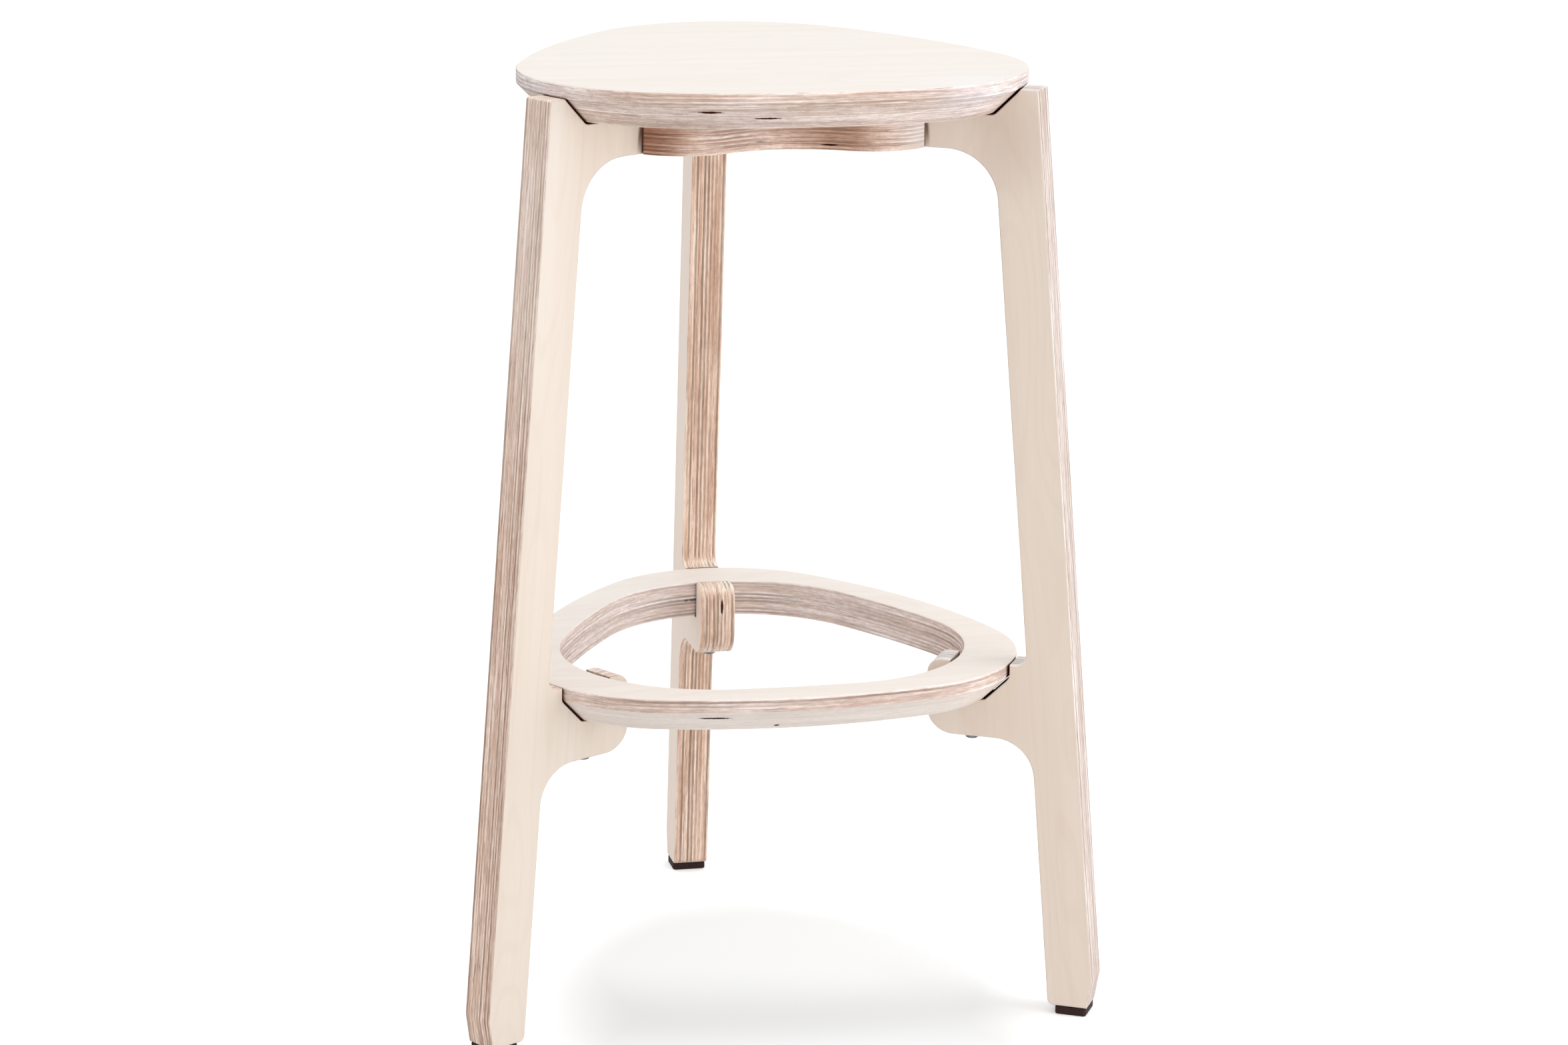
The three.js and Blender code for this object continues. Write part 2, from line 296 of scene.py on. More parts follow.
@dataclass(frozen=True)
class Grain:
    """A noise in a material, and the smooth step that makes a share or a tone of it.

    The cells are counted per metre along x, y and z, which in wood run along the fibres, across
    them and through the plies. The step rises over the span, from the first value that it gives to
    the second.
    """

    cells: Place
    detail: float
    span: Span = (0.0, 1.0)
    gives: Span = (0.0, 1.0)


def srgb(red: int, green: int, blue: int) -> Colour:
    """Turns a colour as a screen writes it into the linear one that a shader takes.

    Args:
        red: the red part, 0 to 255.
        green: the green part.
        blue: the blue part.

    Returns:
        The linear colour, opaque.
    """

    def linear(part: int) -> float:
        """Undoes the screen's curve for one part of the colour."""
        share = part / 255
        return share / 12.92 if share <= 0.04045 else ((share + 0.055) / 1.055) ** 2.4

    return (linear(red), linear(green), linear(blue), 1.0)


def new_finish(name: str) -> tuple[bpy.types.Material, Wiring]:
    """Makes a material whose tree is empty.

    Args:
        name: the material's name.

    Returns:
        The material, and the wiring of its tree.
    """
    finish = bpy.data.materials.new(name)
    finish.use_nodes = True
    finish.node_tree.nodes.clear()
    return finish, Wiring(finish.node_tree)


def new_tree(
    name: str, kind: str, inputs: dict[str, tuple[str, Any]], outputs: dict[str, str]
) -> tuple[Wiring, Any, Any]:
    """Makes an empty node group with named inputs and outputs.

    Args:
        name: the group's name.
        kind: the group's type.
        inputs: the socket type and the default value of each input.
        outputs: the socket type of each output.

    Returns:
        The wiring, the group input node and the group output node.
    """
    tree = bpy.data.node_groups.new(name, kind)
    for label, (socket_kind, value) in inputs.items():
        socket = tree.interface.new_socket(label, in_out="INPUT", socket_type=socket_kind)
        if value is not None:
            socket.default_value = value
    for label, socket_kind in outputs.items():
        tree.interface.new_socket(label, in_out="OUTPUT", socket_type=socket_kind)
    wires = Wiring(tree)
    return wires, wires.node("NodeGroupInput"), wires.node("NodeGroupOutput")


def settle(piece: bpy.types.Object) -> bpy.types.Object:
    """Turns what a piece's modifiers make into its own plain mesh.

    Args:
        piece: the piece.

    Returns:
        The piece.
    """
    bpy.context.view_layer.update()
    depsgraph = bpy.context.evaluated_depsgraph_get()
    mesh = bpy.data.meshes.new_from_object(
        piece.evaluated_get(depsgraph), preserve_all_data_layers=True, depsgraph=depsgraph
    )
    piece.modifiers.clear()
    piece.data = mesh
    return piece


def new_piece(name: str, mesh: bpy.types.Mesh) -> bpy.types.Object:
    """Adds an object to the scene.

    Args:
        name: the object's name.
        mesh: its mesh.

    Returns:
        The object.
    """
    piece = bpy.data.objects.new(name, mesh)
    bpy.context.scene.collection.objects.link(piece)
    return piece


def grow(name: str, tree: bpy.types.NodeTree, sizes: dict[str, Any], mesh: Any = None) -> Any:
    """Runs a Geometry Nodes tree and keeps its result as a plain mesh.

    Args:
        name: the piece's name.
        tree: the Geometry Nodes tree.
        sizes: a value for each of the tree's named inputs.
        mesh: what the tree starts from, if it needs a mesh.

    Returns:
        The piece.
    """
    piece = new_piece(name, mesh or bpy.data.meshes.new(name))
    modifier = piece.modifiers.new("grow", "NODES")
    modifier.node_group = tree
    for socket in tree.interface.items_tree:
        if socket.in_out == "INPUT" and socket.name in sizes:
            modifier[socket.identifier] = sizes[socket.name]
    return settle(piece)


CREASE = math.radians(35)
FLAT_WEIGHT = 90


def smooth(piece: bpy.types.Object) -> bpy.types.Object:
    """Shades curved walls smooth and keeps flat faces flat.

    Args:
        piece: the piece.

    Returns:
        The piece.
    """
    piece.data.shade_smooth()
    piece.data.set_sharp_from_angle(angle=CREASE)
    modifier = piece.modifiers.new("smooth", "WEIGHTED_NORMAL")
    modifier.keep_sharp = True
    modifier.weight = FLAT_WEIGHT
    return settle(piece)


def cut(piece: bpy.types.Object, tools: Sequence[bpy.types.Mesh]) -> bpy.types.Object:
    """Cuts tools out of a piece.

    Args:
        piece: what is cut.
        tools: closed meshes, clear of each other.

    Returns:
        The piece.
    """
    bundle = bmesh.new()
    for tool in tools:
        bundle.from_mesh(tool)
        bpy.data.meshes.remove(tool)
    mesh = bpy.data.meshes.new("tools")
    bundle.to_mesh(mesh)
    bundle.free()
    cutter = new_piece("tools", mesh)
    modifier = piece.modifiers.new("cut", "BOOLEAN")
    modifier.operation = "DIFFERENCE"
    modifier.solver = "EXACT"
    modifier.object = cutter
    settle(piece)
    bpy.data.objects.remove(cutter)
    return piece


def dress(
    piece: bpy.types.Object, finish: bpy.types.Material, nodes: Iterable[str]
) -> None:
    """Gives a finished piece its material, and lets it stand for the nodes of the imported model.

    Args:
        piece: the piece, in place.
        finish: its material.
        nodes: the names of the nodes that it stands for.
    """
    piece.data.materials.clear()
    piece.data.materials.append(finish)
    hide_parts(*nodes)
    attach(piece, BODY)
    LOG.info("%s: %d faces, for %s", piece.name, len(piece.data.polygons), ", ".join(nodes))


ARC_STEP = math.radians(4)


def arc(middle: Vector, radius: float, start: float, sweep: float) -> list[Vector]:
    """Sets points along an arc.

    Args:
        middle: the arc's centre.
        radius: its radius.
        start: the direction of its first point from the centre.
        sweep: the angle to its last point, counter-clockwise.

    Returns:
        The points, both ends included.
    """
    steps = max(2, math.ceil(abs(sweep) / ARC_STEP))
    angles = (start + sweep * i / steps for i in range(steps + 1))
    return [middle + radius * Vector((math.cos(a), math.sin(a))) for a in angles]


def rounded(corners: Sequence[tuple[float, float, float]]) -> list[Vector]:
    """Rounds the corners of an outline.

    Args:
        corners: the place and the rounding radius of each corner, counter-clockwise.

    Returns:
        The outline's points.
    """
    points: list[Vector] = []
    for i, (x, y, radius) in enumerate(corners):
        at = Vector((x, y))
        if not radius:
            points.append(at)
            continue
        before = (Vector(corners[i - 1][:2]) - at).normalized()
        after = (Vector(corners[(i + 1) % len(corners)][:2]) - at).normalized()
        half = before.angle(after) / 2
        middle = at + (before + after).normalized() * radius / math.sin(half)
        reach = radius / math.tan(half)
        start = at + before * reach - middle
        end = at + after * reach - middle
        sweep = -start.angle_signed(end)
        points += arc(middle, radius, math.atan2(start.y, start.x), sweep)
    return points


def inset_loop(points: Sequence[Vector], distance: float) -> list[Vector]:
    """Moves an outline inwards, with square corners kept square.

    Args:
        points: the outline's points, counter-clockwise.
        distance: how far it moves.

    Returns:
        The moved points.
    """
    moved = []
    for i, at in enumerate(points):
        before = (at - points[i - 1]).normalized()
        after = (points[(i + 1) % len(points)] - at).normalized()
        left = Vector((-before.y, before.x))
        right = Vector((-after.y, after.x))
        moved.append(at + (left + right) * distance / (1 + left.dot(right)))
    return moved


EASE = 0.9 * MM
EASE_STEPS = 4


def board(outline: Sequence[Vector], thickness: float, ease: float) -> bpy.types.Mesh:
    """Makes a flat board with rounded arrises, its underside at height zero.

    Args:
        outline: the board's outline, counter-clockwise.
        thickness: the board's thickness.
        ease: the radius of the rounding along its arrises.

    Returns:
        The board's mesh.
    """
    turns = [math.pi / 2 * k / EASE_STEPS for k in range(EASE_STEPS + 1)]
    lower = [(ease * (1 - math.sin(a)), ease * (1 - math.cos(a))) for a in turns]
    stations = lower + [(inset, thickness - z) for inset, z in reversed(lower)]
    mesh = bmesh.new()
    rows = [
        [mesh.verts.new((p.x, p.y, z)) for p in inset_loop(outline, inset)] for inset, z in stations
    ]
    mesh.faces.new(reversed(rows[0]))
    mesh.faces.new(rows[-1])
    for low, high in zip(rows, rows[1:]):
        for i in range(len(low)):
            mesh.faces.new((low[i - 1], low[i], high[i], high[i - 1]))
    result = bpy.data.meshes.new("board")
    mesh.to_mesh(result)
    mesh.free()
    return result


def lathe(profile: Sequence[tuple[float, float]], sides: int) -> bpy.types.Mesh:
    """Turns a profile about the upright axis.

    Args:
        profile: the radius and height of each point, from the axis at one end to the axis at the
            other.
        sides: the number of sides of what is turned.

    Returns:
        The mesh.
    """
    mesh = bmesh.new()
    rows: list[list[Any]] = []
    for radius, z in profile:
        if not radius:
            rows.append([mesh.verts.new((0, 0, z))])
            continue
        turns = (FULL_TURN * i / sides for i in range(sides))
        rows.append([mesh.verts.new((radius * math.cos(a), radius * math.sin(a), z)) for a in turns])
    for low, high in zip(rows, rows[1:]):
        for i in range(sides):
            ends = [low[i - 1], low[i]] if len(low) > 1 else low
            tops = [high[i], high[i - 1]] if len(high) > 1 else high
            mesh.faces.new(ends + tops)
    bmesh.ops.recalc_face_normals(mesh, faces=mesh.faces)
    result = bpy.data.meshes.new("lathe")
    mesh.to_mesh(result)
    mesh.free()
    return result


def placed(mesh: bpy.types.Mesh, matrix: Matrix) -> bpy.types.Mesh:
    """Moves a mesh's points by the matrix and returns it."""
    mesh.transform(matrix)
    return mesh


@dataclass(frozen=True)
class Void:
    """A gap in a ply that opens at a board's edge.

    Its place is taken from the foot of the stool's axis, and its half size along the board's
    grain, across it and through the plies.
    """

    place: Place
    half_size: Place


class Stain(Enum):
    """How a patch darkens or lightens the colour, by the blending that does it."""

    DARKER = "MULTIPLY"
    PALER = "SCREEN"


@dataclass(frozen=True)
class MarkOrPaintedLight:
    """A soft darker or paler patch, placed as a void is, with the tone at its middle.

    A few are wood marks, such as a knot; most are painted light and painted shade.
    """

    place: Place
    half_size: Place
    tone: Colour
    stain: Stain = Stain.DARKER


@dataclass(frozen=True)
class Plywood:
    """Pale birch plywood: veneer faces, and edges with stripes of long and end grain.

    The pattern is solid. It reads a place in the board, with x along the face grain, y across it
    and z through the plies, so that faces, square edges and slopes all show the same plies. The
    tones multiply the stripes on edges, on board ends and on slopes; on some pieces they partly
    stand in for light and shade. In narrow gaps and corners, found by ambient occlusion, the colour
    turns brown: painted shade. The dark colour of the gaps in the plies is painted shade too.
    """

    plies: int = 19
    face_light: Colour = srgb(244, 235, 226)
    face_dark: Colour = srgb(238, 225, 212)
    long_light: Colour = srgb(242, 228, 218)
    long_dark: Colour = srgb(224, 203, 191)
    end_light: Colour = srgb(231, 211, 199)
    end_dark: Colour = srgb(205, 177, 161)
    layer_light: Colour = (1.08, 1.08, 1.08, 1.0)
    layer_dark: Colour = (0.8, 0.71, 0.65, 1.0)
    mottle_light: Colour = (1.04, 1.04, 1.04, 1.0)
    mottle_dark: Colour = (0.91, 0.88, 0.86, 1.0)
    glue: Colour = srgb(132, 92, 74)
    # Painted shade: the dark colour of a gap in a ply stands in for the shade inside it, as the mesh
    # cuts no hole there.
    painted_void_shade: Colour = srgb(62, 32, 22)
    brightest: Colour = (0.97, 0.95, 0.93, 1.0)
    # Painted shade: in narrow gaps and corners that ambient occlusion finds, the colour turns to
    # this brown.
    painted_nook_shade: Colour = srgb(96, 40, 16)
    painted_nook_shade_reach: float = 2.8 * MM
    painted_nook_shade_span: Span = (0.32, 0.88)
    painted_nook_shade_samples: int = 8
    roughness: float = 0.52
    gloss: float = 0.5
    bump: float = 0.12 * MM
    bump_strength: float = 0.6
    fibre_height: float = 0.25
    rough_height: float = -0.5
    painted_void_shade_height: float = -2.0
    painted_void_shade_span: Span = (1.8, 1.3)
    edge_tone: Colour = (1.0, 1.0, 1.0, 1.0)
    end_tone: Colour = (1.0, 1.0, 1.0, 1.0)
    slope_tone: Colour = (1.0, 1.0, 1.0, 1.0)
    slope_share: float = 0.9
    line_weight: float = 1.0

    waver: Grain = Grain((28, 28, 6), 2.0)
    fibre: Grain = Grain((7, 520, 520), 5.0, (0.3, 0.75), (0.0, 0.3))
    fine: Grain = Grain((60, 2600, 2600), 2.0, (0.2, 0.8), (0.985, 1.01))
    speckle: Grain = Grain((900, 1500, 1500), 3.0, (0.5, 1.3))
    drift: Grain = Grain((9, 9, 60), 2.0, (0.25, 0.75), (0.93, 1.06))
    streak: Grain = Grain((16, 150, 900), 3.0, (0.6, 1.1))
    layers: Grain = Grain((12, 12, 430), 3.0, (0.36, 0.64))
    mottle: Grain = Grain((150, 150, 620), 3.0, (0.38, 0.66))
    clouds: Grain = Grain((2.5, 55, 55), 2.5, (0.35, 0.65), (0.0, 0.45))
    figure: Grain = Grain((3.2, 17, 0), 1.5, (0.35, 1.0), (0.0, 0.3))
    broken: Grain = Grain((60, 60, 500), 3.0, (0.36, 0.6), (0.3, 1.0))
    dashes: Grain = Grain((60, 60, 2600), 3.0, (0.54, 0.68), (0.0, 0.6))
    ragged: Grain = Grain((500, 500, 1500), 2.0)
    figure_rings: float = 95.0
    streak_share: float = 0.7
    speckle_share: float = 0.8

    waver_height: float = 0.7 * MM
    skin_share: float = 0.1
    ply_shift: Place = (9.0, 9.0, 9.0)
    ply_seed: float = 31.7
    joint_seed: float = 17.3
    slope_facing: Span = (0.96, 0.78)
    edge_facing: Span = (0.68, 0.4)
    end_facing: Span = (0.72, 1.0)
    board_end_facing: Span = (0.55, 1.0)
    under_slope_facing: Span = (0.4, 0.6)
    long_tones: Span = (0.98, 1.06)
    end_tones: Span = (0.56, 1.12)
    line_span: Span = (0.66, 0.94)
    joint_span: Span = (0.4, 1.0)

    def shared(self) -> bpy.types.NodeTree:
        """Makes the node group that all boards share, or finds it.

        Returns:
            The group.
        """
        name = "plies"
        if name in bpy.data.node_groups:
            return bpy.data.node_groups[name]
        wires, given, result = new_tree(
            name,
            "ShaderNodeTree",
            {
                "Place": ("NodeSocketVector", None),
                "Facing": ("NodeSocketVector", None),
                "Seed": ("NodeSocketFloat", 0.0),
                "Face light": ("NodeSocketColor", None),
                "Face dark": ("NodeSocketColor", None),
                "Edge tone": ("NodeSocketColor", None),
                "End tone": ("NodeSocketColor", None),
                "Slope tone": ("NodeSocketColor", None),
                "Slope share": ("NodeSocketFloat", 0.0),
                "Line weight": ("NodeSocketFloat", 1.0),
            },
            {"Color": "NodeSocketColor", "Height": "NodeSocketFloat"},
        )
        source = given.outputs
        board_place = source["Place"]
        place = wires.node("ShaderNodeSeparateXYZ", {0: board_place}).outputs
        turned = wires.vector("ABSOLUTE", source["Facing"])
        facing = wires.node("ShaderNodeSeparateXYZ", {0: turned}).outputs
        slope = wires.ramp(facing[2], *self.slope_facing, 0.0, source["Slope share"])
        edge = wires.math("MAXIMUM", slope, wires.ramp(facing[2], *self.edge_facing))

        waver = wires.math("SUBTRACT", wires.noise(board_place, self.waver), 0.5)
        depth = wires.math("MULTIPLY_ADD", waver, self.waver_height, place[2])
        skin = BOARD / self.plies * self.skin_share
        depth = wires.math("MINIMUM", wires.math("MAXIMUM", depth, skin), BOARD - skin)
        ply = wires.math("MULTIPLY", depth, self.plies / BOARD)
        number = wires.math("FLOOR", ply)
        within = wires.math("FRACT", ply)
        cross = wires.math("MODULO", number, 2.0)
        chance = self._chance(wires, source["Seed"], self.ply_seed, number)
        joint = self._chance(wires, source["Seed"], self.joint_seed, wires.math("ROUND", ply))

        along = wires.blend(cross, place[0], place[1])
        across = wires.blend(cross, place[1], place[0])
        shift = wires.vector("MULTIPLY", chance[1], self.ply_shift)
        fibre_place = wires.vector("ADD", wires.combine(along, across, depth), shift)
        fibre = wires.noise(fibre_place, self.fibre)
        speckle = wires.noise(fibre_place, self.speckle)
        drift = wires.noise(fibre_place, self.drift)
        streak = wires.noise(fibre_place, self.streak)
        clouds = wires.stepped(wires.noise(fibre_place, self.clouds), self.clouds)

        hills = wires.math("MULTIPLY", wires.noise(fibre_place, self.figure), self.figure_rings)
        figure = wires.stepped(wires.math("SINE", hills), self.figure)
        face_share = wires.math("ADD", wires.stepped(fibre, self.fibre), figure)
        face_share = wires.math("ADD", clouds, face_share)
        face = wires.tint(face_share, source["Face light"], source["Face dark"])

        grain = wires.math("MULTIPLY_ADD", streak, self.streak_share, fibre)
        long_grain = wires.tint(wires.stepped(grain, self.streak), self.long_light, self.long_dark)
        pores = wires.math("MULTIPLY_ADD", speckle, self.speckle_share, drift)
        end_grain = wires.tint(wires.stepped(pores, self.speckle), self.end_light, self.end_dark)
        end = wires.ramp(wires.blend(cross, facing[0], facing[1]), *self.end_facing)
        stripes = wires.tint(end, long_grain, end_grain)

        long_tone = wires.ramp(chance[0], 0.0, 1.0, *self.long_tones)
        end_tone = wires.ramp(chance[0], 0.0, 1.0, *self.end_tones)
        depth_tone = wires.blend(end, long_tone, end_tone)
        tone = wires.math("MULTIPLY", depth_tone, wires.stepped(drift, self.drift))
        stripes = wires.times(stripes, wires.grey(tone))
        layers = wires.stepped(wires.noise(board_place, self.layers), self.layers)
        stripes = wires.times(stripes, wires.tint(layers, self.layer_light, self.layer_dark))
        mottle = wires.stepped(wires.noise(board_place, self.mottle), self.mottle)
        stripes = wires.times(stripes, wires.tint(mottle, self.mottle_light, self.mottle_dark))

        from_middle = wires.math("ABSOLUTE", wires.math("MULTIPLY_ADD", within, 2.0, -1.0))
        line = wires.ramp(from_middle, *self.line_span)
        line = wires.math("MULTIPLY", line, wires.ramp(joint[0], *self.joint_span))
        broken = wires.stepped(wires.noise(board_place, self.broken), self.broken)
        line = wires.math("MULTIPLY", line, broken)
        dashes = wires.stepped(wires.noise(fibre_place, self.dashes), self.dashes)
        line = wires.math("MULTIPLY", wires.math("MAXIMUM", line, dashes), source["Line weight"])
        stripes = wires.tint(line, stripes, self.glue)
        stripes = wires.times(stripes, source["Edge tone"])
        at_ends = wires.ramp(facing[0], *self.board_end_facing)
        stripes = wires.tint(at_ends, stripes, source["End tone"], mode="MULTIPLY")
        on_slope = wires.ramp(facing[2], *self.under_slope_facing)
        stripes = wires.tint(on_slope, stripes, source["Slope tone"], mode="MULTIPLY")

        colour = wires.tint(edge, face, stripes)
        fine = wires.stepped(wires.noise(fibre_place, self.fine), self.fine)
        colour = wires.times(colour, wires.grey(fine))
        rough = wires.math("MULTIPLY", wires.math("ADD", speckle, line), edge)
        rough = wires.math("MULTIPLY", rough, self.rough_height)
        height = wires.math("MULTIPLY_ADD", fibre, self.fibre_height, rough)
        wires.feed(result.inputs["Color"], colour)
        wires.feed(result.inputs["Height"], height)
        return wires.tree

    @staticmethod
    def _chance(wires: Wiring, seed: Any, factor: float, number: Any) -> Any:
        """Gives each numbered ply or joint of a board its own random number and vector."""
        mixed = wires.math("MULTIPLY_ADD", seed, factor, number)
        return wires.node("ShaderNodeTexWhiteNoise", {"W": mixed}, noise_dimensions="1D").outputs

    def make(
        self, name: str, matrix: Matrix, axis: Vector, seed: float, marks: Sequence[Void | MarkOrPaintedLight] = ()
    ) -> bpy.types.Material:
        """Makes the material of one board.

        Args:
            name: the material's name.
            matrix: what takes a place in the stool to its place in the board.
            axis: where the stool's axis meets the floor.
            seed: which stretch of veneer the board is cut from.
            marks: the gaps that open at the board's edge, and its darker and paler patches, which
                are wood marks, painted light and painted shade.

        Returns:
            The material.
        """
        finish, wires = new_finish(name)
        coordinates = wires.node("ShaderNodeTexCoord").outputs
        turned = matrix.to_euler("XYZ")
        moved = matrix.to_translation()
        place = wires.node(
            "ShaderNodeMapping",
            {"Vector": coordinates["Object"], "Location": moved, "Rotation": turned},
        )
        facing = wires.node(
            "ShaderNodeMapping",
            {"Vector": coordinates["Normal"], "Rotation": turned},
            vector_type="VECTOR",
        )
        feeds = {
            "Place": place,
            "Facing": facing,
            "Seed": seed,
            "Face light": self.face_light,
            "Face dark": self.face_dark,
            "Edge tone": self.edge_tone,
            "End tone": self.end_tone,
            "Slope tone": self.slope_tone,
            "Slope share": self.slope_share,
            "Line weight": self.line_weight,
        }
        plies = wires.node("ShaderNodeGroup", node_tree=self.shared())
        for label, value in feeds.items():
            wires.feed(plies.inputs[label], value)
        colour = plies.outputs["Color"]
        height = plies.outputs["Height"]
        gloss: Any = self.gloss
        for mark in marks:
            scale = tuple(1 / size for size in mark.half_size)
            middle = matrix @ (axis + Vector(mark.place))
            away = wires.vector("MULTIPLY", wires.vector("SUBTRACT", place, middle), scale)
            length = wires.length(away)
            # The patches blend in here: wood marks, painted light and painted shade.
            if isinstance(mark, MarkOrPaintedLight):
                share = wires.ramp(length, 1.0, 0.0)
                colour = wires.tint(share, colour, mark.tone, mode=mark.stain.value)
                continue
            # Painted shade in each gap, with a dent in the bump and the gloss taken away.
            uneven = wires.math("ADD", length, wires.noise(place, self.ragged))
            share = wires.ramp(uneven, *self.painted_void_shade_span)
            colour = wires.tint(share, colour, self.painted_void_shade)
            height = wires.math("MULTIPLY_ADD", share, self.painted_void_shade_height, height)
            gloss = wires.math("MULTIPLY", gloss, wires.math("SUBTRACT", 1.0, share))
        colour = wires.tint(1.0, colour, self.brightest, mode="DARKEN")
        # Painted shade: ambient occlusion turns the colour brown and takes away the gloss in gaps
        # and corners.
        reach = {"Distance": self.painted_nook_shade_reach}
        painted_nook_shade = wires.node("ShaderNodeAmbientOcclusion", reach, samples=self.painted_nook_shade_samples)
        unshaded_share = wires.ramp(painted_nook_shade.outputs["AO"], *self.painted_nook_shade_span)
        feeds = {
            "Base Color": wires.tint(unshaded_share, self.painted_nook_shade, colour),
            "Roughness": self.roughness,
            "Specular IOR Level": wires.math("MULTIPLY", gloss, unshaded_share),
        }
        wires.surface(feeds, height, self.bump_strength, self.bump)
        return finish


@dataclass(frozen=True)
class PadFinish:
    """Dark rubber-like felt, almost black with a brown cast."""

    light: Colour = srgb(54, 26, 24)
    dark: Colour = srgb(28, 9, 9)
    roughness: float = 0.85
    sheen: float = 0.05
    nap: Grain = Grain((1400, 1400, 1400), 4.0, (0.3, 0.7))
    bump: float = 0.2 * MM
    bump_strength: float = 0.5

    def make(self, name: str) -> bpy.types.Material:
        """Makes the material.

        Args:
            name: the material's name.

        Returns:
            The material.
        """
        finish, wires = new_finish(name)
        place = wires.node("ShaderNodeTexCoord").outputs["Object"]
        nap = wires.noise(place, self.nap)
        feeds = {
            "Base Color": wires.tint(wires.stepped(nap, self.nap), self.dark, self.light),
            "Roughness": self.roughness,
            "Sheen Weight": self.sheen,
        }
        wires.surface(feeds, nap, self.bump_strength, self.bump)
        return finish


@dataclass(frozen=True)
class ZincFinish:
    """Zinc-plated steel with fine turning marks and cloudy passivation."""

    light: Colour = srgb(160, 161, 164)
    dark: Colour = srgb(122, 122, 124)
    roughness: Span = (0.34, 0.52)
    clouds: Grain = Grain((260, 260, 260), 3.0, (0.3, 0.7))
    marks: Grain = Grain((5200, 5200, 1040), 2.0)
    bump: float = 0.02 * MM
    bump_strength: float = 0.4

    def make(self, name: str) -> bpy.types.Material:
        """Makes the material.

        Args:
            name: the material's name.

        Returns:
            The material.
        """
        finish, wires = new_finish(name)
        place = wires.node("ShaderNodeTexCoord").outputs["Object"]
        clouds = wires.stepped(wires.noise(place, self.clouds), self.clouds)
        feeds = {
            "Base Color": wires.tint(clouds, self.light, self.dark),
            "Metallic": 1.0,
            "Roughness": wires.blend(clouds, *self.roughness),
        }
        wires.surface(feeds, wires.noise(place, self.marks), self.bump_strength, self.bump)
        return finish


LENGTH = ("NodeSocketFloat", 0.0)
CORNER_STEPS = 64
SIDE_STEPS = 48
MERGE = 0.1 * MM


def outline_group() -> bpy.types.NodeTree:
    """Makes the node group that draws a triangle with bowed sides and round corners.

    Returns:
        The group.
    """
    wires, given, result = new_tree(
        "bowed outline",
        "GeometryNodeTree",
        {
            "Corner centre": LENGTH,
            "Corner": LENGTH,
            "Side centre": LENGTH,
            "Bow": LENGTH,
            "Inset": LENGTH,
            "Height": LENGTH,
            "Corner steps": ("NodeSocketInt", CORNER_STEPS),
            "Side steps": ("NodeSocketInt", SIDE_STEPS),
        },
        {"Curve": "NodeSocketGeometry"},
    )
    source = given.outputs
    across = wires.math("MULTIPLY", source["Corner centre"], math.sin(CORNER_TO_SIDE))
    along = wires.math(
        "MULTIPLY_ADD", source["Corner centre"], math.cos(CORNER_TO_SIDE), source["Side centre"]
    )
    side_half = wires.math("ARCTAN2", across, along)
    corner_half = wires.math("SUBTRACT", CORNER_TO_SIDE, side_half)

    per_third = wires.math("ADD", source["Corner steps"], source["Side steps"])
    index = wires.node("GeometryNodeInputIndex").outputs[0]
    third = wires.math("FLOOR", wires.math("DIVIDE", wires.math("ADD", index, 0.5), per_third))
    step = wires.math("SUBTRACT", index, wires.math("MULTIPLY", third, per_third))
    on_side = wires.math("GREATER_THAN", wires.math("ADD", step, 0.5), source["Corner steps"])
    step = wires.math("SUBTRACT", step, wires.math("MULTIPLY", on_side, source["Corner steps"]))
    steps = wires.blend(on_side, source["Corner steps"], source["Side steps"])
    share = wires.math("DIVIDE", step, steps)

    third_turn = wires.math("MULTIPLY_ADD", third, 2 * CORNER_TO_SIDE, Leg.BACK.turn)
    middle = wires.math("MULTIPLY_ADD", on_side, CORNER_TO_SIDE, third_turn)
    half = wires.blend(on_side, corner_half, side_half)
    from_middle = wires.math("MULTIPLY_ADD", share, 2.0, -1.0)
    angle = wires.math("MULTIPLY_ADD", from_middle, half, middle)
    radius = wires.math(
        "SUBTRACT", wires.blend(on_side, source["Corner"], source["Bow"]), source["Inset"]
    )
    behind = wires.math("MULTIPLY", source["Side centre"], -1.0)
    centre = wires.blend(on_side, source["Corner centre"], behind)
    x = wires.math(
        "MULTIPLY_ADD",
        radius,
        wires.math("COSINE", angle),
        wires.math("MULTIPLY", centre, wires.math("COSINE", middle)),
    )
    y = wires.math(
        "MULTIPLY_ADD",
        radius,
        wires.math("SINE", angle),
        wires.math("MULTIPLY", centre, wires.math("SINE", middle)),
    )
    count = wires.math("MULTIPLY", per_third, float(len(Leg)))
    points = wires.node("GeometryNodeCurvePrimitiveCircle", {"Resolution": count})
    drawn = wires.node(
        "GeometryNodeSetPosition",
        {"Geometry": points, "Position": wires.combine(x, y, source["Height"])},
    )
    wires.feed(result.inputs[0], drawn)
    return wires.tree


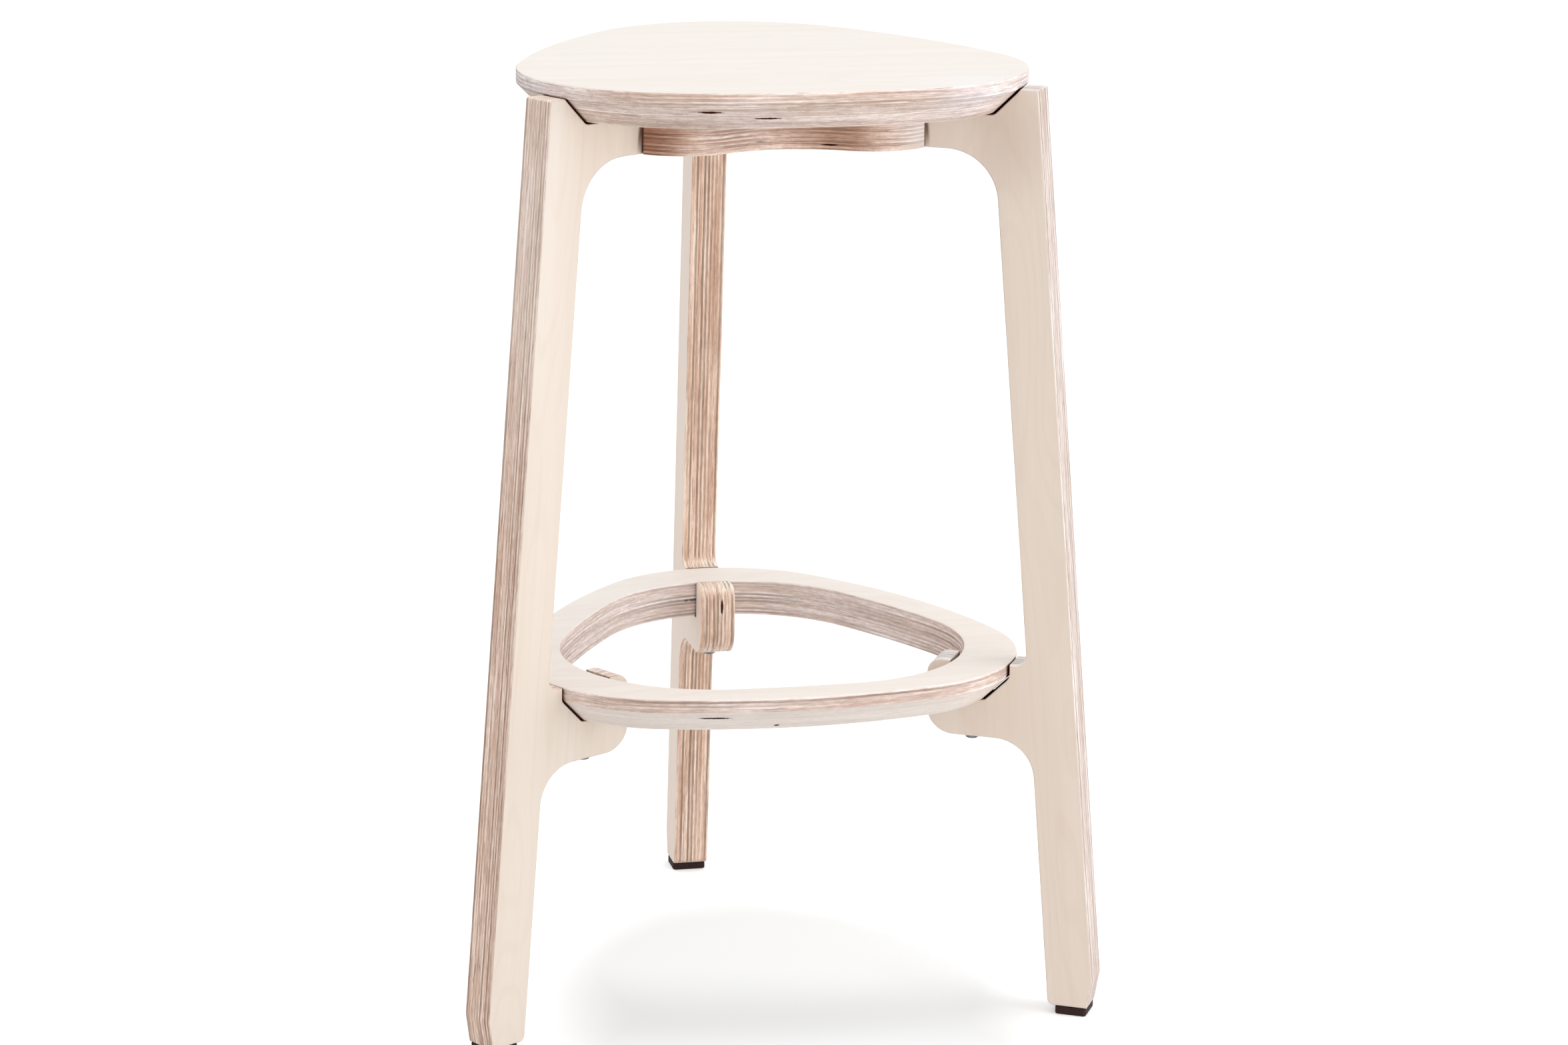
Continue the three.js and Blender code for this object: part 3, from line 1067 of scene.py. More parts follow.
class RimTree:
    """The Geometry Nodes tree of a bowed board with a banded rim and, for a ring, a hole."""

    OUTLINE = ("Corner centre", "Corner", "Side centre", "Bow")

    def __init__(self) -> None:
        """Builds the tree."""
        inputs = {label: LENGTH for label in self.OUTLINE}
        inputs |= {f"Hole {label.lower()}": LENGTH for label in self.OUTLINE}
        inputs |= {label: LENGTH for label in ("Base", "Board", "Band", "Rim inset", "Ease")}
        inputs["Has hole"] = ("NodeSocketBool", False)
        self.wires, self.given, result = new_tree(
            "bowed board", "GeometryNodeTree", inputs, {"Mesh": "NodeSocketGeometry"}
        )
        self.drawing = outline_group()
        wires = self.wires
        source = self.given.outputs
        ease = source["Ease"]
        twice = wires.math("MULTIPLY", ease, 2.0)
        shoulder = wires.math("SUBTRACT", source["Board"], source["Band"])
        underside = wires.math("ADD", source["Rim inset"], twice)
        rim = self.wall(
            "",
            [
                (underside, 0.0),
                (source["Rim inset"], 0.0),
                (0.0, shoulder),
                (0.0, source["Board"]),
                (twice, source["Board"]),
            ],
        )
        back = wires.math("MULTIPLY", twice, -1.0)
        hole = self.wall(
            "Hole ",
            [(back, source["Board"]), (0.0, source["Board"]), (0.0, 0.0), (back, 0.0)],
        )
        top = self.flat(twice, back, source["Board"], upwards=True)
        bottom = self.flat(underside, back, 0.0, upwards=False)
        hole = wires.node(
            "GeometryNodeSwitch", {0: source["Has hole"], 2: hole}, input_type="GEOMETRY"
        )
        joined = wires.node("GeometryNodeJoinGeometry")
        for part in (rim, hole.outputs[0], top, bottom):
            wires.tree.links.new(part, joined.inputs[0])
        merged = wires.node(
            "GeometryNodeMergeByDistance", {"Geometry": joined, "Distance": MERGE}
        )
        moved = wires.node(
            "GeometryNodeTransform",
            {"Geometry": merged, "Translation": wires.combine(z=source["Base"])},
        )
        real = wires.node("GeometryNodeRealizeInstances", {0: moved})
        wires.feed(result.inputs[0], wires.node("GeometryNodeSetMaterial", {"Geometry": real}))

    def outline(self, prefix: str, inset: Any, height: Any = 0.0) -> Any:
        """Draws an outline.

        Args:
            prefix: empty for the rim, or the hole's prefix.
            inset: how far inwards it is moved.
            height: its height over the board's underside.

        Returns:
            The curve.
        """
        source = self.given.outputs
        group = self.wires.node("GeometryNodeGroup", node_tree=self.drawing)
        for label in self.OUTLINE:
            named = f"Hole {label.lower()}" if prefix else label
            self.wires.feed(group.inputs[label], source[named])
        self.wires.feed(group.inputs["Inset"], inset)
        self.wires.feed(group.inputs["Height"], height)
        return group.outputs[0]

    def wall(self, prefix: str, stations: Sequence[tuple[Any, Any]]) -> Any:
        """Sweeps a rounded profile along an outline.

        Args:
            prefix: empty for the rim, or the hole's prefix.
            stations: how far inwards and how high each corner of the profile lies, going up.

        Returns:
            The wall's mesh.
        """
        wires = self.wires
        places = wires.node("GeometryNodeIndexSwitch", data_type="VECTOR")
        for _ in stations[2:]:
            places.index_switch_items.new()
        wires.feed(places.inputs[0], wires.node("GeometryNodeInputIndex"))
        for i, (inset, z) in enumerate(stations):
            wires.feed(places.inputs[i + 1], wires.combine(inset, z))
        line = wires.node("GeometryNodeMeshLine", {"Count": len(stations)})
        inwards_and_up = wires.vector("MULTIPLY", places, (-1.0, -1.0, 0.0))
        corners = wires.node(
            "GeometryNodeSetPosition", {"Geometry": line, "Position": inwards_and_up}
        )
        profile = wires.node("GeometryNodeMeshToCurve", {0: corners})
        profile = wires.node(
            "GeometryNodeFilletCurve",
            {"Curve": profile, "Count": EASE_STEPS - 1, "Radius": self.given.outputs["Ease"]},
            mode="POLY",
        )
        path = wires.node(
            "GeometryNodeSetCurveNormal", {"Curve": self.outline(prefix, 0.0)}, mode="Z_UP"
        )
        swept = wires.node("GeometryNodeCurveToMesh", {"Curve": path, "Profile Curve": profile})
        return wires.node("GeometryNodeFlipFaces", {0: swept}).outputs[0]

    def flat(self, inset: Any, hole_inset: Any, height: Any, upwards: bool) -> Any:
        """Fills a flat face between the rim and the hole.

        Args:
            inset: how far inwards of the rim's outline the face starts.
            hole_inset: the same for the hole's outline.
            height: the height of the face over the board's underside.
            upwards: whether it looks up.

        Returns:
            The face's mesh.
        """
        wires = self.wires
        hole = wires.node(
            "GeometryNodeSwitch",
            {0: self.given.outputs["Has hole"], 2: self.outline("Hole ", hole_inset)},
            input_type="GEOMETRY",
        )
        joined = wires.node("GeometryNodeJoinGeometry")
        for part in (self.outline("", inset), hole.outputs[0]):
            wires.tree.links.new(part, joined.inputs[0])
        filled = wires.node("GeometryNodeFillCurve", {0: joined}, mode="TRIANGLES")
        if not upwards:
            filled = wires.node("GeometryNodeFlipFaces", {0: filled})
        lifted = wires.node(
            "GeometryNodeTransform", {"Geometry": filled, "Translation": wires.combine(z=height)}
        )
        return lifted.outputs[0]


@dataclass(frozen=True)
class Screw:
    """One kind of wood screw, point up, repeated three times round the stool's axis."""

    name: str
    head: Head
    distance: float
    start: float
    end: float
    between_legs: bool = False
    shank: float = 2.2 * MM
    core: float = 1.7 * MM
    head_radius: float = 4.2 * MM
    head_rise: float = 2.8 * MM
    pan_radius: float = 4.6 * MM
    pan_rise: float = 4.2 * MM
    pan_round: float = 1.4 * MM
    point: float = 5 * MM
    pitch: float = 2 * MM
    thread_depth: float = 0.6 * MM
    neck_share: float = 0.35
    edge: float = 0.25 * MM
    star_points: int = 6
    star: float = 1.9 * MM
    star_waist_share: float = 0.72
    star_round: float = 0.35 * MM
    star_ease: float = 0.1 * MM
    star_depth: float = 1.5 * MM
    gap: float = 0.3 * MM
    sides: int = 40
    hole_sides: int = 32

    @property
    def length(self) -> float:
        """The distance from the start to the tip of the point."""
        return self.end - self.start

    @property
    def turns(self) -> list[float]:
        """The three directions in which the screws stand from the axis."""
        return [leg.turn + (HALF_TURN if self.between_legs else 0) for leg in Leg]

    @property
    def neck(self) -> float:
        """How far from the start the shank keeps its full width."""
        return self.length * self.neck_share

    def body(self) -> bpy.types.Mesh:
        """Makes the head, shank and point, with a star-shaped socket.

        Returns:
            The screw's mesh, point up, with its start at the origin.
        """
        rim = self.edge
        if self.head is Head.COUNTERSUNK:
            low = 0.0
            head = [(self.head_radius - rim, 0.0), (self.head_radius, rim)]
            head.append((self.shank, self.head_rise))
        else:
            low = -self.pan_rise
            shoulder = Vector((self.pan_radius - self.pan_round, low + self.pan_round))
            head = [(p.x, p.y) for p in arc(shoulder, self.pan_round, -math.pi / 2, math.pi / 2)]
            head += [(self.pan_radius, -rim), (self.pan_radius - rim, 0.0), (self.shank, 0.0)]
        tail = [(self.shank, self.neck), (self.core, self.neck + rim)]
        tail.append((self.core, self.length - self.point))
        mesh = lathe([(0.0, low), *head, *tail, (0.0, self.length)], self.sides)
        piece = new_piece("screw", mesh)
        star = []
        for i in range(2 * self.star_points):
            angle = HALF_TURN * i / self.star_points
            radius = self.star * (self.star_waist_share if i % 2 else 1)
            star.append((radius * math.cos(angle), radius * math.sin(angle), self.star_round))
        depth = 2 * self.star_depth
        socket = board(rounded(star), depth, self.star_ease)
        placed(socket, Matrix.Translation((0, 0, low - depth / 2)))
        cut(piece, [socket])
        mesh = piece.data
        bpy.data.objects.remove(piece)
        return mesh

    def hole(self, underside: float) -> bpy.types.Mesh:
        """Makes the tool that cuts the screw's clearance hole.

        Args:
            underside: the height of the face that the screw goes in by.

        Returns:
            The tool, its axis upright at the origin.
        """
        mouth = underside - self.start - OVERRUN
        wide = self.shank + self.gap
        tip = self.length + self.gap
        entry = [(wide, mouth)]
        if self.head is Head.COUNTERSUNK:
            brim = self.head_radius + self.gap
            entry = [(brim, mouth), (brim, 0.0), (wide, self.head_rise + self.gap)]
        profile = [(0.0, mouth), *entry, (wide, tip - self.point), (0.0, tip)]
        return placed(lathe(profile, self.hole_sides), Matrix.Translation((0, 0, self.start)))

    def holes(self, underside: float, axis: Vector) -> list[bpy.types.Mesh]:
        """Makes the tools for all three holes, in place.

        Args:
            underside: the height of the face that the screws go in by.
            axis: where the stool's axis meets the floor.

        Returns:
            The tools.
        """
        reach = Matrix.Translation((self.distance, 0, 0))
        foot = Matrix.Translation(axis)
        turned = (foot @ Matrix.Rotation(turn, 4, "Z") @ reach for turn in self.turns)
        return [placed(self.hole(underside), matrix) for matrix in turned]


THREAD_STEPS = 20
RIDGE_SIDES = 3


def round_axis_tree() -> bpy.types.NodeTree:
    """Makes the tree that repeats a part round the stool's axis, with any thread on it.

    Returns:
        The tree.
    """
    wires, given, result = new_tree(
        "round the axis",
        "GeometryNodeTree",
        {
            "Part": ("NodeSocketGeometry", None),
            "Count": ("NodeSocketInt", len(Leg)),
            "Distance": LENGTH,
            "Height": LENGTH,
            "First turn": ("NodeSocketFloat", 0.0),
            "Axis": ("NodeSocketVector", None),
            "Thread turns": ("NodeSocketFloat", 0.0),
            "Thread radius": LENGTH,
            "Thread depth": LENGTH,
            "Thread start": LENGTH,
            "Thread length": LENGTH,
        },
        {"Mesh": "NodeSocketGeometry"},
    )
    source = given.outputs
    helix = wires.node(
        "GeometryNodeCurveSpiral",
        {
            "Resolution": THREAD_STEPS,
            "Rotations": source["Thread turns"],
            "Start Radius": source["Thread radius"],
            "End Radius": source["Thread radius"],
            "Height": source["Thread length"],
        },
    )
    ridge = wires.node(
        "GeometryNodeCurvePrimitiveCircle",
        {"Resolution": RIDGE_SIDES, "Radius": source["Thread depth"]},
    )
    thread = wires.node(
        "GeometryNodeCurveToMesh", {"Curve": helix, "Profile Curve": ridge, "Fill Caps": True}
    )
    thread = wires.node(
        "GeometryNodeTransform",
        {"Geometry": thread, "Translation": wires.combine(z=source["Thread start"])},
    )
    threaded = wires.math("GREATER_THAN", source["Thread turns"], 0.0)
    thread = wires.node("GeometryNodeSwitch", {0: threaded, 2: thread}, input_type="GEOMETRY")
    part = wires.node("GeometryNodeJoinGeometry")
    wires.tree.links.new(source["Part"], part.inputs[0])
    wires.tree.links.new(thread.outputs[0], part.inputs[0])

    angle = wires.math("DIVIDE", wires.node("GeometryNodeInputIndex"), source["Count"])
    angle = wires.math("MULTIPLY_ADD", angle, FULL_TURN, source["First turn"])
    place = wires.combine(
        wires.math("MULTIPLY", source["Distance"], wires.math("COSINE", angle)),
        wires.math("MULTIPLY", source["Distance"], wires.math("SINE", angle)),
        source["Height"],
    )
    points = wires.node(
        "GeometryNodePoints",
        {"Count": source["Count"], "Position": wires.vector("ADD", place, source["Axis"])},
    )
    repeated = wires.node(
        "GeometryNodeInstanceOnPoints",
        {"Points": points, "Instance": part, "Rotation": wires.combine(z=angle)},
    )
    real = wires.node("GeometryNodeRealizeInstances", {0: repeated})
    wires.feed(result.inputs[0], wires.node("GeometryNodeSetMaterial", {"Geometry": real}))
    return wires.tree


def rim_sizes(outline: Outline, base: float, hole: Outline | None = None) -> dict[str, Any]:
    """The named inputs of a bowed board's tree.

    Args:
        outline: the rim's outline.
        base: the height of the underside.
        hole: the hole's outline, for a ring.

    Returns:
        A value for each input.
    """
    inner = hole or outline
    sizes: dict[str, Any] = {
        "Base": base,
        "Board": BOARD,
        "Band": BAND,
        "Rim inset": RIM_INSET,
        "Ease": EASE,
        "Has hole": hole is not None,
    }
    for prefix, drawn in (("", outline), ("Hole ", inner)):
        values = (drawn.corner_centre, drawn.corner, drawn.side_centre, drawn.bow)
        for label, value in zip(RimTree.OUTLINE, values):
            sizes[f"Hole {label.lower()}" if prefix else label] = value
    return sizes


def flat_board_matrix(axis: Vector, base: float, grain: float) -> Matrix:
    """What takes a place in the stool to one in a level board, with the grain at an angle."""
    return Matrix.Rotation(-grain, 4, "Z") @ Matrix.Translation(-axis - Vector((0, 0, base)))


@dataclass
class BowedBoard:
    """A level board with a bowed outline and a banded, sloped rim, and a hole if it has one.

    The entry is the height of the face that its screws' holes are cut from.
    """

    label: str
    node: str
    outline: Outline
    base: float
    entry: float
    seed: float
    look: Plywood
    marks: tuple[Void | MarkOrPaintedLight, ...]
    hole: Outline | None = None
    grain: float = 0.0

    def build(self, tree: bpy.types.NodeTree, axis: Vector, screws: Sequence[Screw]) -> None:
        """Makes, cuts and dresses the board.

        Args:
            tree: the tree of a bowed board.
            axis: where the stool's axis meets the floor.
            screws: the screws that reach into the board.
        """
        piece = grow(f"{self.label}_board", tree, rim_sizes(self.outline, self.base, self.hole))
        piece.data.transform(Matrix.Translation(axis))
        cut(piece, [tool for screw in screws for tool in screw.holes(self.entry, axis)])
        smooth(piece)
        matrix = flat_board_matrix(axis, self.base, self.grain)
        finish = self.look.make(f"{self.label}_plywood", matrix, axis, self.seed, self.marks)
        dress(piece, finish, [self.node])


@dataclass
class Seat(BowedBoard):
    """The seat."""

    label: str = "seat"
    node: str = "seat"
    outline: Outline = SEAT_OUTLINE
    base: float = SEAT_BOTTOM
    entry: float = HUB_BOTTOM
    seed: float = 3.0
    look: Plywood = Plywood(
        face_light=srgb(241, 235, 229),
        face_dark=srgb(238, 229, 220),
        edge_tone=(1.1, 1.15, 1.2, 1.0),
        end_tone=(1.0, 1.12, 1.25, 1.0),
        # Painted shade: the sloped underside of the rim is toned darker.
        slope_tone=(0.94, 0.92, 0.92, 1.0),
    )
    marks: tuple[Void | MarkOrPaintedLight, ...] = (
        Void(mm(-65.5, -143.2, 636.9), mm(8, 4, 0.8)),
        Void(mm(-27.5, -141.7, 632.2), mm(8.5, 4, 0.6)),
        # Painted shade on the left front of the rim.
        MarkOrPaintedLight(mm(-75, -130, 630), mm(90, 50, 14), (0.82, 0.78, 0.76, 1.0)),
        # Painted light on the right front of the rim.
        MarkOrPaintedLight(mm(115, -125, 645), mm(60, 50, 30), (0.0, 0.14, 0.26, 1.0), Stain.PALER),
    )


@dataclass
class FootrestRing(BowedBoard):
    """The footrest ring: the seat's rim round a hole."""

    label: str = "ring"
    node: str = "footrest_ring"
    outline: Outline = RING_OUTLINE
    base: float = RING_BOTTOM
    entry: float = CORBEL_BOTTOM
    seed: float = 11.0
    look: Plywood = Plywood(
        # The ring's paler faces are partly painted light, brightening it where it lies in the seat's
        # shade.
        face_light=srgb(250, 244, 237),
        face_dark=srgb(245, 235, 226),
        edge_tone=(1.02, 1.06, 1.12, 1.0),
        slope_share=0.3,
    )
    marks: tuple[Void | MarkOrPaintedLight, ...] = (
        Void(mm(-58.6, -142.2, 232.8), mm(10.5, 4, 0.7)),
        Void(mm(-15.7, -138.3, 224.6), mm(1.8, 3, 0.6)),
        Void(mm(-15, 144.8, 233.9), mm(3, 3, 1)),
        Void(mm(-20, 144, 233.8), mm(1.8, 3, 0.8)),
        # Painted light over the back of the ring.
        MarkOrPaintedLight(mm(-20, 80, 234), mm(200, 150, 60), (0.22, 0.22, 0.22, 1.0), Stain.PALER),
    )
    hole: Outline | None = HOLE_OUTLINE


@dataclass
class HubPlate:
    """The hub plate: three lobes with a slot each, joined by hollow sides."""

    waist: float = 66 * MM
    lobe: float = 47 * MM
    slot_gap: float = 1.2 * MM
    slot_round: float = 2 * MM
    slot_ease: float = 0.01 * MM
    grain: float = math.radians(45)
    seed: float = 23.0
    look: Plywood = Plywood(edge_tone=(1.08, 1.05, 1.05, 1.0), end_tone=srgb(224, 203, 188))
    marks: tuple[Void | MarkOrPaintedLight, ...] = (
        MarkOrPaintedLight(mm(-15.8, -67.8, 604.6), mm(7, 5, 1.2), (0.4, 0.35, 0.35, 1.0)),
        Void(mm(30.4, -72.4, 602.4), mm(4.5, 5, 0.6)),
        # Painted shade on the hub's left end.
        MarkOrPaintedLight(mm(-97, -70, 612), mm(40, 40, 40), (0.7, 0.54, 0.46, 1.0)),
        # Painted light on the hub's right end.
        MarkOrPaintedLight(mm(97, -70, 612), mm(36, 36, 36), (0.62, 0.6, 0.6, 1.0), Stain.PALER),
        # Painted shade in the gaps where the hub meets the left and right arms.
        MarkOrPaintedLight(mm(-95.8, -70.8, 612), mm(3, 3, 20), (0.3, 0.2, 0.14, 1.0)),
        MarkOrPaintedLight(mm(95.8, -70.8, 612), mm(3, 3, 20), (0.3, 0.2, 0.14, 1.0)),
    )

    def outline(self) -> list[Vector]:
        """Draws the lobes and the hollow arcs, which run smoothly into each other.

        Returns:
            The outline's points, counter-clockwise.
        """
        lobe_centre = HUB_TIP - self.lobe
        along = lobe_centre * math.cos(CORNER_TO_SIDE)
        across = lobe_centre * math.sin(CORNER_TO_SIDE)
        start = self.waist - along
        hollow = (start**2 + across**2 - self.lobe**2) / (2 * (self.lobe - start))
        hollow_centre = self.waist + hollow
        hollow_half = math.atan2(across, hollow_centre - along)
        lobe_half = CORNER_TO_SIDE + hollow_half
        points: list[Vector] = []
        for leg in Leg:
            side = leg.turn + CORNER_TO_SIDE
            middle = lobe_centre * Vector((math.cos(leg.turn), math.sin(leg.turn)))
            points += arc(middle, self.lobe, leg.turn - lobe_half, 2 * lobe_half)
            middle = hollow_centre * Vector((math.cos(side), math.sin(side)))
            points += arc(middle, hollow, side + HALF_TURN + hollow_half, -2 * hollow_half)[1:-1]
        return points

    def slot(self, turn: float, axis: Vector) -> bpy.types.Mesh:
        """Makes the tool that cuts one arm's slot.

        Args:
            turn: the direction of the arm from the axis.
            axis: where the stool's axis meets the floor.

        Returns:
            The tool, in place.
        """
        inner = ARM_END - self.slot_gap
        outer = HUB_TIP + OVERRUN
        half = BOARD / 2 + self.slot_gap
        wide = half + self.slot_round + OVERRUN
        mouth = HUB_TIP - self.lobe + math.sqrt(self.lobe**2 - half**2)
        side = [(inner, -half, 0.0), (mouth, -half, self.slot_round)]
        side += [(mouth, -wide, 0.0), (outer, -wide, 0.0)]
        corners = side + [(x, -y, radius) for x, y, radius in reversed(side)]
        tool = board(rounded(corners), BOARD + 2 * OVERRUN, self.slot_ease)
        lift = Matrix.Translation(axis + Vector((0, 0, HUB_BOTTOM - OVERRUN)))
        return placed(tool, lift @ Matrix.Rotation(turn, 4, "Z"))

    def build(self, axis: Vector, screws: Screw) -> None:
        """Makes, cuts and dresses the plate.

        Args:
            axis: where the stool's axis meets the floor.
            screws: the screws through the plate.
        """
        lift = Matrix.Translation(axis + Vector((0, 0, HUB_BOTTOM)))
        mesh = placed(board(self.outline(), BOARD, EASE), lift)
        piece = new_piece("hub_board", mesh)
        cut(piece, [self.slot(leg.turn, axis) for leg in Leg])
        cut(piece, screws.holes(HUB_BOTTOM, axis))
        smooth(piece)
        matrix = flat_board_matrix(axis, HUB_BOTTOM, self.grain)
        finish = self.look.make("hub_plywood", matrix, axis, self.seed, self.marks)
        dress(piece, finish, ["hub_plate"])


@dataclass
class LegBlade:
    """A leg: one blade with an arm, a head notch, and a corbel whose cradle holds the ring."""

    leg: Leg
    seed: float
    look: Plywood
    marks: tuple[Void | MarkOrPaintedLight, ...] = ()
    splay: float = math.radians(5.08)
    width: float = 32.5 * MM
    ease: float = 1.1 * MM
    head_wall: float = 12 * MM
    head_round: float = 2 * MM
    ledge: float = 12 * MM
    foot_chamfer_rise: float = 20 * MM
    foot_chamfer_inset: float = 5 * MM
    foot_round: float = 4.5 * MM
    arm_drop: float = 1 * MM
    arm_fillet: float = 36 * MM
    notch_round: float = 4 * MM
    corbel_fillet: float = 28 * MM
    hook_length: float = 16.5 * MM
    hook_top_round: float = 10 * MM
    hook_nose_round: float = 19 * MM
    hook_gap: float = 1.6 * MM
    ledge_fillet: float = 8 * MM
    band_round: float = 4 * MM
    cradle_round: float = 2.5 * MM

    @property
    def notch(self) -> float:
        """Where the head's notch meets the seat's rim."""
        return SEAT_OUTLINE.tip + CRADLE_GAP

    def outer(self, z: float) -> float:
        """The level distance from the axis to the outer edge at a height."""
        return self.notch + self.head_wall + (SEAT_TOP - BAND - z) * math.tan(self.splay)

    def inner(self, z: float) -> float:
        """The level distance from the axis to the inner edge at a height."""
        return self.outer(z) - self.width

    @property
    def foot(self) -> tuple[float, float]:
        """The inner and outer end of the foot's flat bottom."""
        return (
            self.inner(FOOT_BOTTOM) + self.foot_round,
            self.outer(FOOT_BOTTOM) - self.foot_chamfer_inset,
        )

    def outline(self) -> list[Vector]:
        """Draws the blade in its own plane.

        Returns:
            The outline's points, each its level distance from the axis and its height.
        """
        head_top = SEAT_TOP - BAND
        arm_top = HUB_TOP - self.arm_drop
        cradle = RING_BOTTOM - SEATING_GAP
        ring_notch = self.inner(RING_TOP) - self.ledge
        hook_wall = HOLE_OUTLINE.reach(BOARD / 2) - self.hook_gap
        hook_tip = hook_wall - self.hook_length
        chamfer_top = FOOT_BOTTOM + self.foot_chamfer_rise
        slope = math.tan(RIM_SLOPE)
        return rounded(
            [
                (self.foot[1], FOOT_BOTTOM, 0.0),
                (self.outer(chamfer_top), chamfer_top, 0.0),
                (self.outer(head_top), head_top, self.head_round),
                (self.notch, head_top, 0.0),
                (self.notch - (head_top - arm_top) / slope, arm_top, self.notch_round),
                (ARM_END, arm_top, 0.0),
                (ARM_END, HUB_BOTTOM, 0.0),
                (self.inner(HUB_BOTTOM), HUB_BOTTOM, self.arm_fillet),
                (self.inner(RING_TOP), RING_TOP, self.ledge_fillet),
                (ring_notch, RING_TOP, 0.0),
                (ring_notch, RING_TOP - BAND, self.band_round),
                (ring_notch - (RING_TOP - BAND - cradle) / slope, cradle, self.cradle_round),
                (hook_wall, cradle, 0.0),
                (hook_wall, RING_TOP, 0.0),
                (hook_tip, RING_TOP, self.hook_top_round),
                (hook_tip, CORBEL_BOTTOM, self.hook_nose_round),
                (self.inner(CORBEL_BOTTOM), CORBEL_BOTTOM, self.corbel_fillet),
                (self.inner(FOOT_BOTTOM), FOOT_BOTTOM, self.foot_round),
            ]
        )

    def grain_matrix(self, axis: Vector) -> Matrix:
        """What takes a place in the stool to one in the blade, with the grain along it.

        Args:
            axis: where the stool's axis meets the floor.

        Returns:
            The matrix.
        """
        turn = self.leg.turn
        out = Vector((math.cos(turn), math.sin(turn), 0.0))
        beside = Vector((-math.sin(turn), math.cos(turn), 0.0))
        up = Vector((0.0, 0.0, 1.0))
        along = up * math.cos(self.splay) - out * math.sin(self.splay)
        across = out * math.cos(self.splay) + up * math.sin(self.splay)
        turned = Matrix((along, across, beside)).to_4x4()
        return Matrix.Translation((0, 0, BOARD / 2)) @ turned @ Matrix.Translation(-axis)

    def build(self, axis: Vector, screws: Iterable[tuple[Screw, float]]) -> None:
        """Makes, cuts and dresses the blade.

        Args:
            axis: where the stool's axis meets the floor.
            screws: each screw in the blade, with the height of the face that it goes in by.
        """
        mesh = board(self.outline(), BOARD, self.ease)
        upright = Matrix(((1, 0, 0, 0), (0, 0, -1, BOARD / 2), (0, 1, 0, 0), (0, 0, 0, 1)))
        piece = new_piece(f"{self.leg.label}_blade", placed(mesh, upright))
        tools = [
            placed(screw.hole(underside), Matrix.Translation((screw.distance, 0, 0)))
            for screw, underside in screws
        ]
        cut(piece, tools)
        piece.data.transform(Matrix.Translation(axis) @ Matrix.Rotation(self.leg.turn, 4, "Z"))
        smooth(piece)
        matrix = self.grain_matrix(axis)
        finish = self.look.make(f"{self.leg.label}_plywood", matrix, axis, self.seed, self.marks)
        dress(piece, finish, [f"leg_{self.leg.label}"])


@dataclass
class FootPads:
    """The three dark pads under the feet."""

    inner: float
    outer: float
    inset: float = 0.5 * MM
    corner: float = 2.5 * MM
    ease: float = 1.1 * MM

    @property
    def distance(self) -> float:
        """From the axis to a pad's middle."""
        return (self.inner + self.outer) / 2

    def build(self, tree: bpy.types.NodeTree, axis: Vector, screw: Screw) -> None:
        """Makes, cuts and dresses the pads.

        Args:
            tree: the tree that repeats a part round the axis.
            axis: where the stool's axis meets the floor.
            screw: the screw that goes through each pad.
        """
        half_length = (self.outer - self.inner) / 2 - self.inset
        half_width = BOARD / 2 - self.inset
        corners = [(-half_length, -half_width), (half_length, -half_width)]
        corners += [(half_length, half_width), (-half_length, half_width)]
        outline = rounded([(x, y, self.corner) for x, y in corners])
        pad = new_piece("pad", board(outline, PAD_HEIGHT, self.ease))
        cut(pad, [screw.hole(0.0)])
        mesh = pad.data
        bpy.data.objects.remove(pad)
        sizes = {"Distance": self.distance, "First turn": Leg.BACK.turn, "Axis": axis}
        piece = smooth(grow("foot_pads", tree, sizes, mesh))
        nodes = [f"foot_pad_{leg.label}" for leg in Leg]
        dress(piece, PadFinish().make("pad_felt"), nodes)


@dataclass
class Screws:
    """All the screws, by kind."""

    foot_middle: float
    recess: float = 0.8 * MM
    seat_bite: float = 14 * MM
    ring_bite: float = 15 * MM
    pad_bite: float = 22 * MM
    pad_recess: float = 1.6 * MM
    hub_distance: float = 42 * MM
    arm: Screw = field(init=False)
    hub: Screw = field(init=False)
    ring: Screw = field(init=False)
    pad: Screw = field(init=False)

    def __post_init__(self) -> None:
        """Works out where each kind of screw stands."""
        low = HUB_BOTTOM + self.recess
        high = SEAT_BOTTOM + self.seat_bite
        ring_middle = (HOLE_OUTLINE.tip + RING_OUTLINE.tip - RIM_INSET) / 2
        arm_middle = (ARM_END + HUB_TIP) / 2
        self.arm = Screw("arm_screw", Head.COUNTERSUNK, arm_middle, low, high)
        self.hub = Screw(
            "hub_screw_opposite", Head.COUNTERSUNK, self.hub_distance, low, high, between_legs=True
        )
        self.ring = Screw(
            "ring_screw",
            Head.PAN,
            ring_middle,
            CORBEL_BOTTOM - SEATING_GAP,
            RING_BOTTOM + self.ring_bite,
        )
        self.pad = Screw(
            "pad_screw",
            Head.COUNTERSUNK,
            self.foot_middle,
            self.pad_recess,
            FOOT_BOTTOM + self.pad_bite,
        )

    def build(self, tree: bpy.types.NodeTree, axis: Vector) -> None:
        """Makes and dresses the four sets of screws.

        Args:
            tree: the tree that repeats a part round the axis.
            axis: where the stool's axis meets the floor.
        """
        finish = ZincFinish().make("zinc_plate")
        for screw in (self.arm, self.hub, self.ring, self.pad):
            start = screw.neck + screw.pitch
            threaded = screw.length - screw.point - start
            sizes = {
                "Distance": screw.distance,
                "Height": screw.start,
                "First turn": screw.turns[0],
                "Axis": axis,
                "Thread turns": threaded / screw.pitch,
                "Thread radius": screw.core,
                "Thread depth": screw.thread_depth,
                "Thread start": start,
                "Thread length": threaded,
            }
            piece = smooth(grow(f"{screw.name}s", tree, sizes, screw.body()))
            dress(piece, finish, [f"{screw.name}_{leg.label}" for leg in Leg])


@dataclass(frozen=True)
class Lamp:
    """A soft square lamp that faces the stool's middle, with where it hangs from there."""

    name: str
    away: Place
    size: float
    power: float


